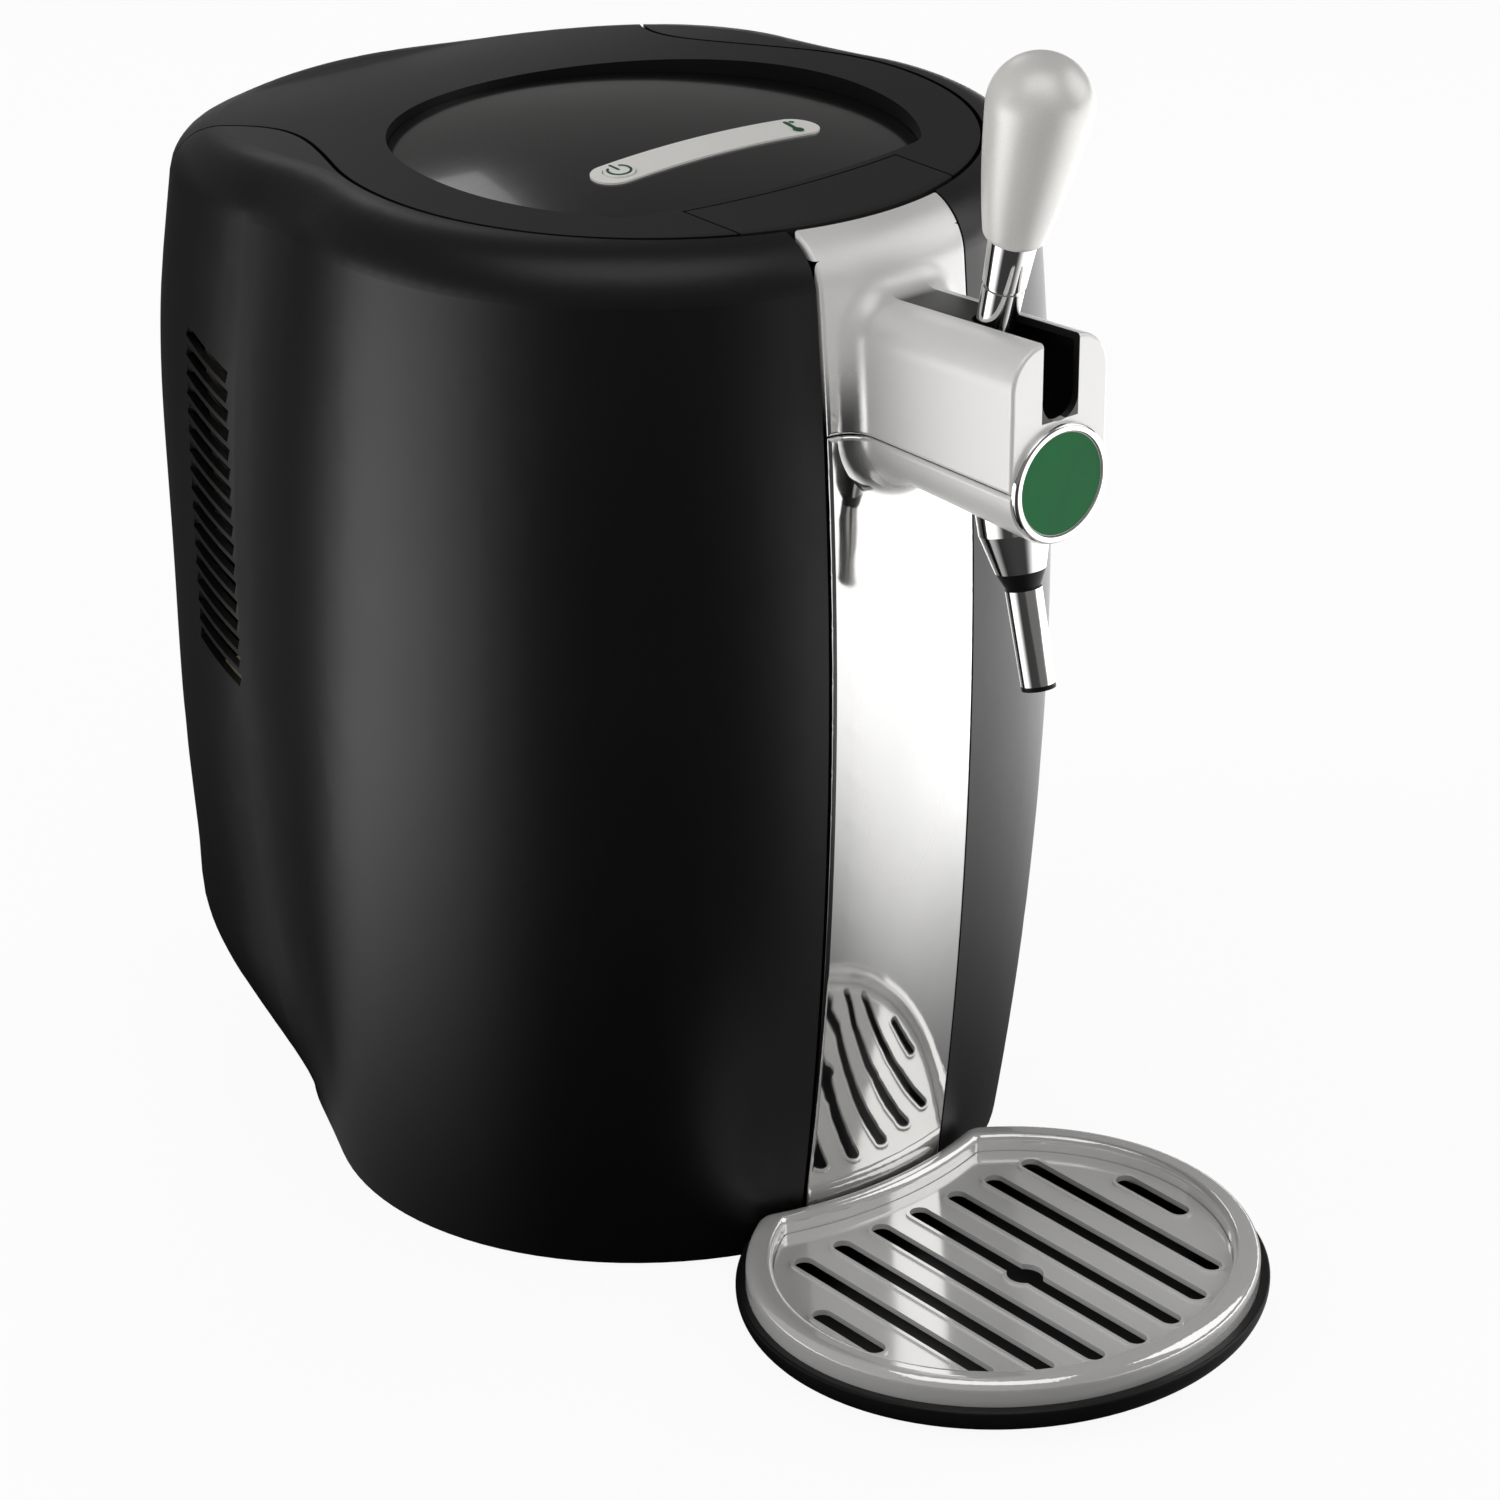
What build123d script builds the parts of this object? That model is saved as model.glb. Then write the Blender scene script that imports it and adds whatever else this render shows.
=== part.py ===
from build123d import *
import os
from math import atan2, cos, degrees, hypot, radians, sin, sqrt

# Home beer dispenser for a five litre keg. Millimetres, +Z up, the tap faces -Y.
# The model is drawn about the barrel's vertical axis and is moved along Y at the
# end, so that the origin lies under the middle of its bounding box.

# ------------------------------------------------------------------ clearances
FIT = 0.3                    # gap between pieces that are assembled together
RUNNING = 0.05               # radial gap of a pin in its bore
SEAM = 1.6                   # visible groove round the lid
SPLIT_GAP = 0.2              # each half of the tap stays this far from the split
WALL = 2.8                   # moulded wall of the housing and the lid

# ---------------------------------------------------------------- body envelope
BODY_FOOT = 2.0              # underside of the housing above the table
BODY_TOP = 380.0             # front of the crown above the table
FOOT_HALF_WIDTH = 127.8
TOP_HALF_WIDTH = 132.8
BARREL_SWELL = 13.2          # bulge of the barrel past a straight taper
DEPTH_RATIO = 0.92           # depth of the barrel's ellipse over its width
REAR_CENTRE = 78.3           # axis of the round rear compartment, behind the barrel's
REAR_FOOT_RADIUS = 121.3
REAR_TOP_RADIUS = 128.4
REAR_SWELL = 6.65
TUCK_HEIGHT = 69.0           # below this the rear compartment sweeps in to the foot
TUCK_SHIFT = 43.3
TUCK_SHRINK = 8.8
VALLEY_SPREAD = 9.0          # half the angle that the valley between the rounds takes
CROWN_RADIUS = 917.0         # the top falls away behind the barrel's axis
ROLL_START = 172.0
ROLL_RADIUS = 46.0           # the top rolls over to the back
SHOULDER_RADIUS = 20.0
SECTION_SHARES = (0, 0.035, 0.07, 0.11, 0.155, 0.21, 0.3, 0.45, 0.62, 0.8, 1.03)
TOOL_REACH = 400.0           # length of a cutting block that only has to reach past

# ------------------------------------------------------------------------- base
BASE_BOTTOM = 4.0
BASE_THICKNESS = 3.0
PAD_RADIUS = 9.0
FRONT_PAD = (84.0, -62.0)
REAR_PAD = (60.0, 104.0)

# --------------------------------------------------------------------- keg well
KEG_RADIUS = 86.0            # five litre keg
KEG_PLAY = 2.5               # between the keg and the cooling cup
CUP_WALL = 3.0
CUP_HEIGHT = 170.0
CUP_FLOOR = 60.0             # underside of the cooling cup
LINER_WALL = 2.0
DECK_BOTTOM = 343.0
DECK_THICKNESS = 3.0
BULKHEAD_Y = 104.0           # wall between the cold well and the rear compartment
BULKHEAD_THICKNESS = 2.5

# ------------------------------------------------------------ cooling machinery
COLD_HEIGHT = 172.0          # height of the cooling stack's axis
COLD_SIZE = 44.0
COLD_REACH = 8.0             # the cold block stands this far behind the bulkhead
PELTIER_SIZE = 40.0
PELTIER_THICKNESS = 4.0
SINK_WIDTH = 92.0
SINK_HEIGHT = 110.0
SINK_BASE = 6.0
FIN_DEPTH = 26.0
FIN_THICKNESS = 1.6
FIN_COUNT = 12
FAN_SIZE = 92.0
FAN_DEPTH = 22.0
FAN_BORE = 43.0
FAN_HUB = 17.0
FAN_BLADES = 7
FAN_SHAFT = 2.0
BOARD_THICKNESS = 1.6
BOARD_STANDOFF = 5.0
CONTROL_BOARD = (50.0, 262.0, 322.0)     # half width, bottom and top
SUPPLY_BOARD = (54.0, 30.0, 92.0)
# components of each board: left edge, height over the board's foot, width, height and depth
CONTROL_PARTS = ((-40, 30, 18, 14, 9), (-12, 34, 12, 12, 5), (14, 8, 26, 20, 4), (-44, 6, 16, 10, 12))
SUPPLY_PARTS = ((-44, 10, 26, 40, 18), (-8, 14, 16, 16, 16), (14, 12, 12, 34, 12), (34, 20, 10, 26, 14))
STANDOFF_EDGE = 5.0          # the supports' axes lie this far inside what they carry
STANDOFF_RADIUS = 2.5
SINK_STANDOFF_RADIUS = 3.5
FAN_CORNER = 4.0
FAN_PLATE = 3.0
FAN_STRUT = 4.0
FAN_BLADE = (1.6, 17.0)      # thickness and width of a blade
FAN_BLADE_TURN = 35.0
FAN_TIP_GAP = 2.0
PROBE_RADIUS = 3.0
PROBE_HEIGHT = 238.0
PROBE_FLANGE = 3.0           # radial reach of the probe's flange
PROBE_FLANGE_THICKNESS = 2.0

# ------------------------------------------------------------- housing openings
VENT_COUNT = 17
VENT_PITCH = 7.2
VENT_HEIGHT = 5.0
VENT_TILT = 18.0             # the slots' front ends lie lower
VENT_FRONT = 77.0
VENT_BACK = 107.0
VENT_LOWEST = 189.0
DUCT_X = 103.0               # inner side of the air ducts behind the slots
DUCT_MARGIN = 4.0
PANEL_HALF_WIDTH = 62.0
PANEL_BOTTOM = 96.0
PANEL_TOP = 304.0
PANEL_LAP = 7.0              # the housing's flange behind the panel's edge
GRILLE_COUNT = 15
GRILLE_PITCH = 8.0
GRILLE_HEIGHT = 3.6
GRILLE_HALF_WIDTH = 44.0
GRILLE_RIB = 5.0
SCREW_RADIUS = 1.5
SCREW_HEAD = 3.2
SCREW_LENGTH = 9.0
CROSS_REACH = 1.8            # half length of each slot in a screw's head
CROSS_HALF_WIDTH = 0.4
CROSS_DEPTH = 0.7
INLET_WIDTH = 28.0
INLET_HEIGHT = 21.0
INLET_DEPTH = 18.0
INLET_Z = 116.0
INLET_FLANGE = 3.0
INLET_WALL = 2.5
INLET_FLANGE_THICKNESS = 1.8
CONTACT_RADIUS = 1.6
CONTACT_LENGTH = 11.0
CONTACT_X = 6.0

# -------------------------------------------------------------------- the lid
CAP_SEAM = 350.0             # underside of the lid's rear cap
LID_HALF_WIDTH = 114.5
LID_HALF_DEPTH = 113.0
LID_CENTRE = 3.0
LID_LEAVE = 22.0             # the lid's outline leaves its ellipse at this angle
WAIST_HALF_WIDTH = 89.0
WAIST_Y = 109.0
FLARE_HALF_WIDTH = 142.0
FLARE_Y = 166.0
LID_FLOOR = 362.0
LID_FLOOR_THICKNESS = 2.5
RECESS_HALF_WIDTH = 90.0
RECESS_HALF_DEPTH = 96.0
RECESS_CENTRE = 4.0
RECESS_FRONT = -70.0
RECESS_FRONT_RADIUS = 290.0
RECESS_CORNER = 14.0
DOME_TOP = 381.9
DOME_CENTRE = -3.0
DOME_RADIUS = 520.0
PLUG_RADIUS = 84.0           # the lid's liner dips into the keg well
PLUG_DEPTH = 12.0
PLUG_CHAMFER = 2.0
LINER_FLANGE_THICKNESS = 10.0
LINER_FLANGE_RADIUS = 96.0
GASKET_RADIUS = 94.0
GASKET_WIDTH = 4.0
LID_HINGE_Y = 196.5
LID_HINGE_Z = 343.0
LID_HINGE_RADIUS = 4.6
LID_PIN_RADIUS = 2.0
LID_KNUCKLE_START = 10.4     # the lid's knuckles lie between these two distances
LID_KNUCKLE_END = 27.0
HINGE_NOTCH = 31.0           # half width of the housing's notch for the hinge
HINGE_NOTCH_BOTTOM = 334.0
RELEASE_HALF_WIDTH = 47.0
RELEASE_GAP = 0.8
RELEASE_PIVOT_Y = -77.5
RELEASE_PIVOT_Z = 368.5
RELEASE_PIN_RADIUS = 1.5
RELEASE_ROOM = 4.5           # room under the release's skirt for its swing
HOOK_Y = -101.0
HOOK_HALF_WIDTH = 7.0
HOOK_THICKNESS = 2.0
HOOK_BOTTOM = 351.0
BARB = 1.4
BARB_HEIGHT = 3.0
POST_THICKNESS = 3.0         # posts of the lid that carry the release's pins
POST_INSET = 6.0             # from the release's edge to a post's middle
ARM_THICKNESS = 2.4          # arms of the release round its pins
ARM_INSET = 9.2
ARM_HALF_DEPTH = 3.0
RELEASE_PIN_LENGTH = 7.0
RELEASE_PIN_INSET = 4.5
SPRING_WIDTH = 8.0
SPRING_THICKNESS = 0.6
SPRING_LENGTH = 14.0
SPRING_BEND = 1.4            # height of the bend between a spring's foot and its leaf
SPRING_X = 13.0              # inner side of the leaf springs
KEEPER_WALL = 1.5
STRIP_LENGTH = 97.0
STRIP_WIDTH = 16.0
STRIP_THICKNESS = 1.6
STRIP_Y = -25.0
STRIP_SINK = 0.9             # depth of the strip's seat in the dome
KEY_X = -38.0
KEY_RADIUS = 5.5
KEY_PROUD = 0.5

# -------------------------------------------------------------- column and tap
COLUMN_HALF_WIDTH = 31.6
COLUMN_BOTTOM = 12.0
COLUMN_SET_BACK = -0.9       # the column's face stands this far proud of the barrel
COLUMN_THICKNESS = 2.5
COLUMN_CHEEK = 2.2
SPLIT_Z = 313.0
ARM_HALF_WIDTH = 20.95
ARM_FRONT = -202.5
ARM_TOP_FRONT = 362.0
ARM_TOP_ROOT = 356.0
ARM_BELLY_FRONT = 20.95
ARM_BELLY_ROOT = 17.0
ARM_CORNER = 14.0
ARM_WALL = 2.6
ARM_ROOT_FILLET = 9.0
ARM_FACE_ROUND = 1.4
ARM_ROOT_Y = -100.0          # buried end of the arm, inside the column's solid
SLOT_HALF_WIDTH = 7.8
SLOT_BOTTOM = 341.9          # centre of the round end in the tap's face
SLOT_BACK = -171.5           # centre of the round end in the tap's top
BADGE_Z = 312.9
BADGE_RADIUS = 18.0
BEZEL_RADIUS = 20.4
BEZEL_PROUD = 2.2
COLUMN_GAP = 1.2             # dark gap at each side of the column
COLUMN_EDGE_ROUND = 1.5
HEAD_PIN_Y = -116.0
HEAD_PIN_Z = 369.6
HEAD_PIN_RADIUS = 1.2
HEAD_KNUCKLE_RADIUS = 2.4
HEAD_KNUCKLE_HALF = 9.0
HEAD_LUG_END = 13.5
HEAD_RELIEF = 2.8            # the head's edge is thinner this far before the pin
HEAD_FLOOR_DROP = 2.8        # the channel's floor lies this far below the pin's axis

# ------------------------------------------------------------------- tap lever
LEVER_Y = -163.0
LEVER_Z = 322.0
LEVER_LEAN = 13.2            # forward lean at rest
LEVER_PIN_RADIUS = 2.5
BOSS_RADIUS = 5.4
BOSS_HALF_LENGTH = 7.0
LOBE_REACH = 5.7
LOBE_RADIUS = 2.0
SOCKET_TOP = 12.0            # the stem stands in the cam's socket up to here
STEM_RADIUS_LOW = 6.1
STEM_RADIUS_HIGH = 7.4
STEM_TOP = 70.0
STEM_RING = 51.4
HANDLE_START = 68.8
HANDLE_TOP = 134.4
HANDLE_NECK = 10.5
HANDLE_RADIUS = 17.5
HANDLE_EDGE = 3.0            # round at the handle's foot
HANDLE_EDGE_TURN = 77.0
HANDLE_JOIN = -6.0           # the flank runs into the round head at this angle, in degrees
FERRULE_GROOVE = 1.0
FERRULE_GROOVE_DEPTH = 0.7
FERRULE_STEP = 0.2           # the ferrule stands proud of the stem's taper, low and high
FERRULE_FLARE = 0.7
PLUNGER_GAP = 0.5
PLUNGER_WIDTH = 7.8
PLUNGER_DEPTH = 9.0
PLUNGER_BOTTOM = 302.0
TUBE_CHANNEL = 8.4
CRADLE_TOP = 311.0
CRADLE_FRONT = -196.0
CRADLE_BACK = -134.0
CHANNEL_FLOOR = 299.0

# ----------------------------------------------------------------------- spout
SPOUT_Y = -182.6
SPOUT_Z = 290.0
SPOUT_LEAN = 14.5
CONE_TOP_RADIUS = 12.0
CONE_END_RADIUS = 8.5
CONE_LENGTH = 13.4
COLLAR_LENGTH = 6.2
COLLAR_END_RADIUS = 5.6
TUBE_RADIUS = 6.2
TUBE_END_RADIUS = 5.8
TUBE_LENGTH = 32.5
TIP_LENGTH = 1.6
SPOUT_BORE = 3.6
SPIGOT_RADIUS = 7.6

# ------------------------------------------------------------------- drip tray
TRAY_CENTRE = -186.0
TRAY_BOTTOM = 1.0
BOWL_HALF_WIDTH = 96.5
BOWL_HALF_DEPTH = 89.5
BOWL_WALL = 2.6
BOWL_SIDE = 7.8              # the basin's edge lies this far inside the bowl's
BOWL_NOTCH_SIDE = 5.2
BOWL_EDGE_ROUND = 1.0
BOWL_TOP = 14.0
BOWL_ROUND = 9.0
RIM_HALF_WIDTH = 93.0
RIM_HALF_DEPTH = 86.0
RIM_TOP = 21.0
RIM_WIDTH = 9.5
RIM_ROUND = 4.2
RIM_INNER_ROUND = 2.8
RIM_NOTCH_WIDTH = 7.5
RIM_SLOPE = 5.0
EAR_RADIUS = 8.0
NOTCH_GAP = 1.6              # between the tray and the housing
LEDGE_THICKNESS = 1.5        # ledge of the rim on which the grid lies
LEDGE_WIDTH = 5.0
GRID_TOP = 14.5
GRID_THICKNESS = 1.4
GRID_SLOT_PITCH = 18.0
GRID_SLOT_WIDTH = 7.4
GRID_LONG_SLOTS = 3          # long slots each side of the middle one
GRID_SLOT_BACK = -138.5
GRID_SLOT_MARGIN = 6.0
GRID_SHORT_BACK = -169.1
GRID_SHORT_FRONT = -203.5
GRID_LIP = 1.3
GRID_LIP_HEIGHT = 0.7
GRID_HOLE_Y = -197.0
GRID_HOLE_RADIUS = 6.5
TONGUE_HALF_WIDTH = 28.0
TONGUE_END = -101.0
TONGUE_BOTTOM = 3.4
TONGUE_HEIGHT = 4.6


# ------------------------------------------------------------- helper functions
def slab(low, high):
    """A block between two corners."""
    size = [b - a for a, b in zip(low, high)]
    middle = [(a + b) / 2 for a, b in zip(low, high)]
    return Pos(*middle) * Box(*size)


def layer(bottom, top):
    """All space between two heights."""
    return slab((-TOOL_REACH, -TOOL_REACH, bottom), (TOOL_REACH, TOOL_REACH, top))


def rod(radius, length, middle, along):
    """A cylinder centred on a point, along X, Y or Z."""
    turn = {"X": Rot(0, 90, 0), "Y": Rot(90, 0, 0), "Z": Rot(0, 0, 0)}[along]
    return Pos(*middle) * turn * Cylinder(radius, length)


def mirrored(piece):
    """A piece and its copy across the plane of symmetry."""
    return [piece, piece.mirror(Plane.YZ)]


def on_ellipse(half_width, half_depth, angle):
    """A point of an ellipse and its unit tangent, both at an eccentric angle."""
    turn = radians(angle)
    tangent = Vector(-half_width * sin(turn), half_depth * cos(turn)).normalized()
    return Vector(half_width * cos(turn), half_depth * sin(turn)), tangent


# --------------------------------------------------------------- body envelope
def barrel(z):
    """Half width and half depth of the barrel's ellipse at a height."""
    share = (z - BODY_FOOT) / (BODY_TOP - BODY_FOOT)
    taper = FOOT_HALF_WIDTH + (TOP_HALF_WIDTH - FOOT_HALF_WIDTH) * share
    half_width = taper + BARREL_SWELL * 4 * share * (1 - share)
    return half_width, half_width * DEPTH_RATIO


def rear_round(z):
    """Radius and centre of the rear compartment at a height."""
    share = (z - BODY_FOOT) / (BODY_TOP - BODY_FOOT)
    radius = REAR_FOOT_RADIUS + (REAR_TOP_RADIUS - REAR_FOOT_RADIUS) * share
    radius += REAR_SWELL * 4 * share * (1 - share)
    rise = min((z - BODY_FOOT) / TUCK_HEIGHT, 1)
    tuck = 1 - rise * rise * (3 - 2 * rise)
    return radius - TUCK_SHRINK * tuck, REAR_CENTRE - TUCK_SHIFT * tuck


def crossing(half_width, half_depth, radius, centre):
    """Eccentric angle at which the barrel's ellipse enters the rear round."""
    low, high = 0.0, 85.0
    for _ in range(40):
        middle = (low + high) / 2
        point, _tangent = on_ellipse(half_width, half_depth, middle)
        if hypot(point.X, point.Y - centre) > radius:
            low = middle
        else:
            high = middle
    return low


def body_section(z, inset):
    """Plan of the body: front ellipse, two soft valleys and the rear round."""
    half_width, half_depth = (size - inset for size in barrel(z))
    radius, centre = rear_round(z)
    radius -= inset
    meet = crossing(half_width, half_depth, radius, centre)
    leave = meet - VALLEY_SPREAD
    corner, _ = on_ellipse(half_width, half_depth, meet)
    arrive = degrees(atan2(corner.Y - centre, corner.X)) + VALLEY_SPREAD
    start, start_way = on_ellipse(half_width, half_depth, leave)
    end, end_way = on_ellipse(radius, radius, arrive)
    end += Vector(0, centre)
    front = EllipticalCenterArc(
        (0, 0), half_width, half_depth, start_angle=180 - leave, arc_size=180 + 2 * leave
    )
    right = Spline(start, end, tangents=(start_way, end_way))
    rear = ThreePointArc(end, (0, centre + radius), (-end.X, end.Y))
    left = right.mirror(Plane.YZ)
    return Plane.XY.offset(z) * make_face(front + right + rear + left)


def crown_height(y, inset):
    """Height of the top, which is level in front and falls away behind."""
    radius = CROWN_RADIUS - inset
    return BODY_TOP - inset - radius + sqrt(radius**2 - max(y, 0) ** 2)


def crown_tool(inset):
    """Everything below the body's top, rolled over at the back."""
    start = Vector(ROLL_START, crown_height(ROLL_START, inset))
    slope = ROLL_START / (CROWN_RADIUS - inset)
    middle = ROLL_START / 2
    level = Line((-TOOL_REACH / 2, BODY_TOP - inset), (0, BODY_TOP - inset))
    crown = ThreePointArc((0, BODY_TOP - inset), (middle, crown_height(middle, inset)), start)
    roll = JernArc(start, (1, -slope), inset - ROLL_RADIUS, 75)
    back = Polyline(
        roll @ 1, ((roll @ 1).X, -BODY_TOP), (-TOOL_REACH / 2, -BODY_TOP), level @ 0
    )
    profile = Plane.YZ * make_face(level + crown + roll + back)
    return extrude(profile, amount=TOOL_REACH / 2, both=True)


def envelope(inset):
    """The body's outer form, moved inwards by a distance."""
    heights = [BODY_FOOT + (BODY_TOP - BODY_FOOT) * share for share in SECTION_SHARES]
    body = loft([body_section(z, inset) for z in heights]) & crown_tool(inset)
    top_edges = [
        edge
        for edge in body.edges().filter_by(GeomType.LINE, reverse=True)
        if edge.bounding_box().max.Z > CAP_SEAM - SHOULDER_RADIUS
        and edge.bounding_box().min.Z > CAP_SEAM - 2 * SHOULDER_RADIUS
    ]
    return fillet(top_edges, SHOULDER_RADIUS - inset)


OUTER = envelope(0)
INNER = envelope(WALL)
LINING = envelope(WALL + FIT)
COLUMN_FACE = envelope(COLUMN_SET_BACK)
COLUMN_BACK = envelope(COLUMN_SET_BACK + COLUMN_THICKNESS)
CHANNEL_BACK = envelope(COLUMN_SET_BACK + COLUMN_THICKNESS + COLUMN_CHEEK)


# ----------------------------------------------------------------- lid outline
def lid_region(gap, bottom):
    """Space over the lid's outline, which is moved inwards by a gap."""
    half_width, half_depth = LID_HALF_WIDTH - gap, LID_HALF_DEPTH - gap
    leave, leave_way = on_ellipse(half_width, half_depth, LID_LEAVE)
    leave += Vector(0, LID_CENTRE)
    front = EllipticalCenterArc(
        (0, LID_CENTRE),
        half_width,
        half_depth,
        start_angle=180 - LID_LEAVE,
        arc_size=180 + 2 * LID_LEAVE,
    )
    waist = (WAIST_HALF_WIDTH - gap, WAIST_Y)
    flare = (FLARE_HALF_WIDTH, FLARE_Y + gap)
    right = Spline(leave, waist, flare, tangents=(leave_way, Vector(1, 0.5).normalized()))
    back = Polyline(
        flare, (flare[0], TOOL_REACH), (-flare[0], TOOL_REACH), (-flare[0], flare[1])
    )
    plan = make_face(front + right + back + right.mirror(Plane.YZ))
    return Pos(0, 0, bottom) * extrude(plan, amount=DOME_TOP + SEAM - bottom)


def recess_region(gap, bottom):
    """Space over the oval recess in the lid, moved inwards by a gap."""
    oval = Pos(0, RECESS_CENTRE) * Ellipse(RECESS_HALF_WIDTH - gap, RECESS_HALF_DEPTH - gap)
    front = Pos(0, RECESS_FRONT + RECESS_FRONT_RADIUS) * Circle(RECESS_FRONT_RADIUS - gap)
    solid = extrude(oval & front, amount=DOME_TOP + SEAM - bottom)
    solid = fillet(solid.edges().filter_by(Axis.Z), RECESS_CORNER - gap)
    return Pos(0, 0, bottom) * solid


def release_region(gap, bottom):
    """Space over the lid's front segment, which is the release key."""
    half = RELEASE_HALF_WIDTH - gap
    return slab((-half, -TOOL_REACH / 2, bottom), (half, RECESS_FRONT + 20, BODY_TOP + SEAM))


# ---------------------------------------------------------------- derived sizes
LINER_RADIUS = KEG_RADIUS + KEG_PLAY + CUP_WALL + FIT
WELL_RADIUS = LINER_RADIUS + LINER_WALL
DECK_TOP = DECK_BOTTOM + DECK_THICKNESS
BASE_TOP = BASE_BOTTOM + BASE_THICKNESS
FLOOR_TOP = LID_FLOOR + LID_FLOOR_THICKNESS
BULKHEAD_BACK = BULKHEAD_Y + BULKHEAD_THICKNESS
COLD_BACK = BULKHEAD_BACK + COLD_REACH
SINK_FACE = COLD_BACK + PELTIER_THICKNESS
FIN_FACE = SINK_FACE + SINK_BASE
FAN_FACE = FIN_FACE + FIN_DEPTH
FAN_BACK = FAN_FACE + FAN_DEPTH
BOARD_FACE = BULKHEAD_BACK + BOARD_STANDOFF
VENT_TOP = VENT_LOWEST + (VENT_COUNT - 1) * VENT_PITCH
CHANNEL_HALF = COLUMN_HALF_WIDTH + COLUMN_GAP
COLUMN_FACE_DEPTH = barrel(SPLIT_Z)[1]
HEAD_FLOOR = HEAD_PIN_Z - HEAD_FLOOR_DROP
PANEL_BACK = envelope(WALL - FIT)
FLANGE_BACK = envelope(2 * WALL)
CHANNEL_FACE = envelope(COLUMN_SET_BACK + COLUMN_THICKNESS + FIT)


def barrel_front(x, z, inset):
    """Y of the barrel's front at a width and a height, moved inwards."""
    half_width, half_depth = (size - inset for size in barrel(z))
    return -half_depth * sqrt(1 - (x / half_width) ** 2)


def rear_face(x, z):
    """Y of the rear compartment's back at a width and a height."""
    radius, centre = rear_round(z)
    return centre + sqrt(radius**2 - x**2)


# -------------------------------------------------------------------- housing
def column_block(half_width, bottom, top):
    """All space in front of the barrel's axis over the column's width."""
    return slab((-half_width, -TOOL_REACH, bottom), (half_width, 0, top))


def panel_block(margin):
    """All space behind the bulkhead over the rear panel's outline."""
    half = PANEL_HALF_WIDTH + margin
    return slab((-half, FAN_BACK, PANEL_BOTTOM - margin), (half, TOOL_REACH, PANEL_TOP + margin))


def side_vents():
    """Cutters for the slots at both sides of the rear compartment."""
    length = VENT_BACK - VENT_FRONT
    slot = Rot(VENT_TILT, 0, 0) * Box(REAR_TOP_RADIUS / 2, length, VENT_HEIGHT)
    middle = (REAR_TOP_RADIUS, VENT_FRONT + length / 2, VENT_LOWEST)
    slots = [Pos(*middle) * Pos(0, 0, VENT_PITCH * i) * slot for i in range(VENT_COUNT)]
    return [cutter for one in slots for cutter in mirrored(one)]


def tongue_slot(gap):
    """Space for the tray's tongue through the foot of the housing."""
    half = TONGUE_HALF_WIDTH + gap
    top = TONGUE_BOTTOM + TONGUE_HEIGHT + gap
    return slab((-half, -TOOL_REACH, -BODY_TOP), (half, TONGUE_END + gap, top))


def head_relief(half_width, bottom, top):
    """Space about the tap head's hinge where the channel's floor is lowered."""
    front = HEAD_PIN_Y - HEAD_RELIEF
    return slab((-half_width, front, bottom), (half_width, -WELL_RADIUS, top))


def make_housing():
    """Moulded shell: barrel, rear compartment, column channel and lid well."""
    low = COLUMN_BOTTOM - FIT
    channel = column_block(CHANNEL_HALF + COLUMN_CHEEK, low - COLUMN_CHEEK, BODY_TOP)
    channel -= CHANNEL_BACK
    flange = (panel_block(PANEL_LAP) - panel_block(-PANEL_LAP)) - FLANGE_BACK
    well = lid_region(-2, DECK_TOP + FIT) - lid_region(0, DECK_TOP)
    cavity = INNER - channel - flange - well
    shell = OUTER - cavity - lid_region(0, CAP_SEAM)
    shell -= column_block(CHANNEL_HALF, low, BODY_TOP) - CHANNEL_FACE
    shell = add_head_hinge_lugs(shell - head_relief(CHANNEL_HALF, HEAD_FLOOR, BODY_TOP))
    shell -= panel_block(FIT) - PANEL_BACK
    shell -= panel_block(-PANEL_LAP)
    shell -= side_vents()
    shell -= tongue_slot(FIT)
    shell -= [screw_shank(place, SCREW_RADIUS + RUNNING) for place in panel_screw_places()]
    return add_lid_hinge_lugs(shell)


def add_head_hinge_lugs(shell):
    """Thicken the channel's floor under the tap head's hinge and stand two lugs on it."""
    bar = head_relief(CHANNEL_HALF + COLUMN_CHEEK, HEAD_FLOOR - 2 * WALL, HEAD_FLOOR)
    lugs = []
    for start in (-HEAD_LUG_END, HEAD_KNUCKLE_HALF + FIT):
        end = start + HEAD_LUG_END - HEAD_KNUCKLE_HALF - FIT
        middle = (start + end) / 2
        lugs.append(rod(HEAD_KNUCKLE_RADIUS, end - start, (middle, HEAD_PIN_Y, HEAD_PIN_Z), "X"))
        lugs.append(
            slab(
                (start, HEAD_PIN_Y - HEAD_KNUCKLE_RADIUS, HEAD_FLOOR - WALL),
                (end, HEAD_PIN_Y + HEAD_KNUCKLE_RADIUS, HEAD_PIN_Z),
            )
        )
    shell = shell.fuse((bar & CHANNEL_FACE) - lid_region(0, CAP_SEAM), *lugs)
    return shell - rod(HEAD_PIN_RADIUS, 2 * HEAD_LUG_END, (0, HEAD_PIN_Y, HEAD_PIN_Z), "X")


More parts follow.
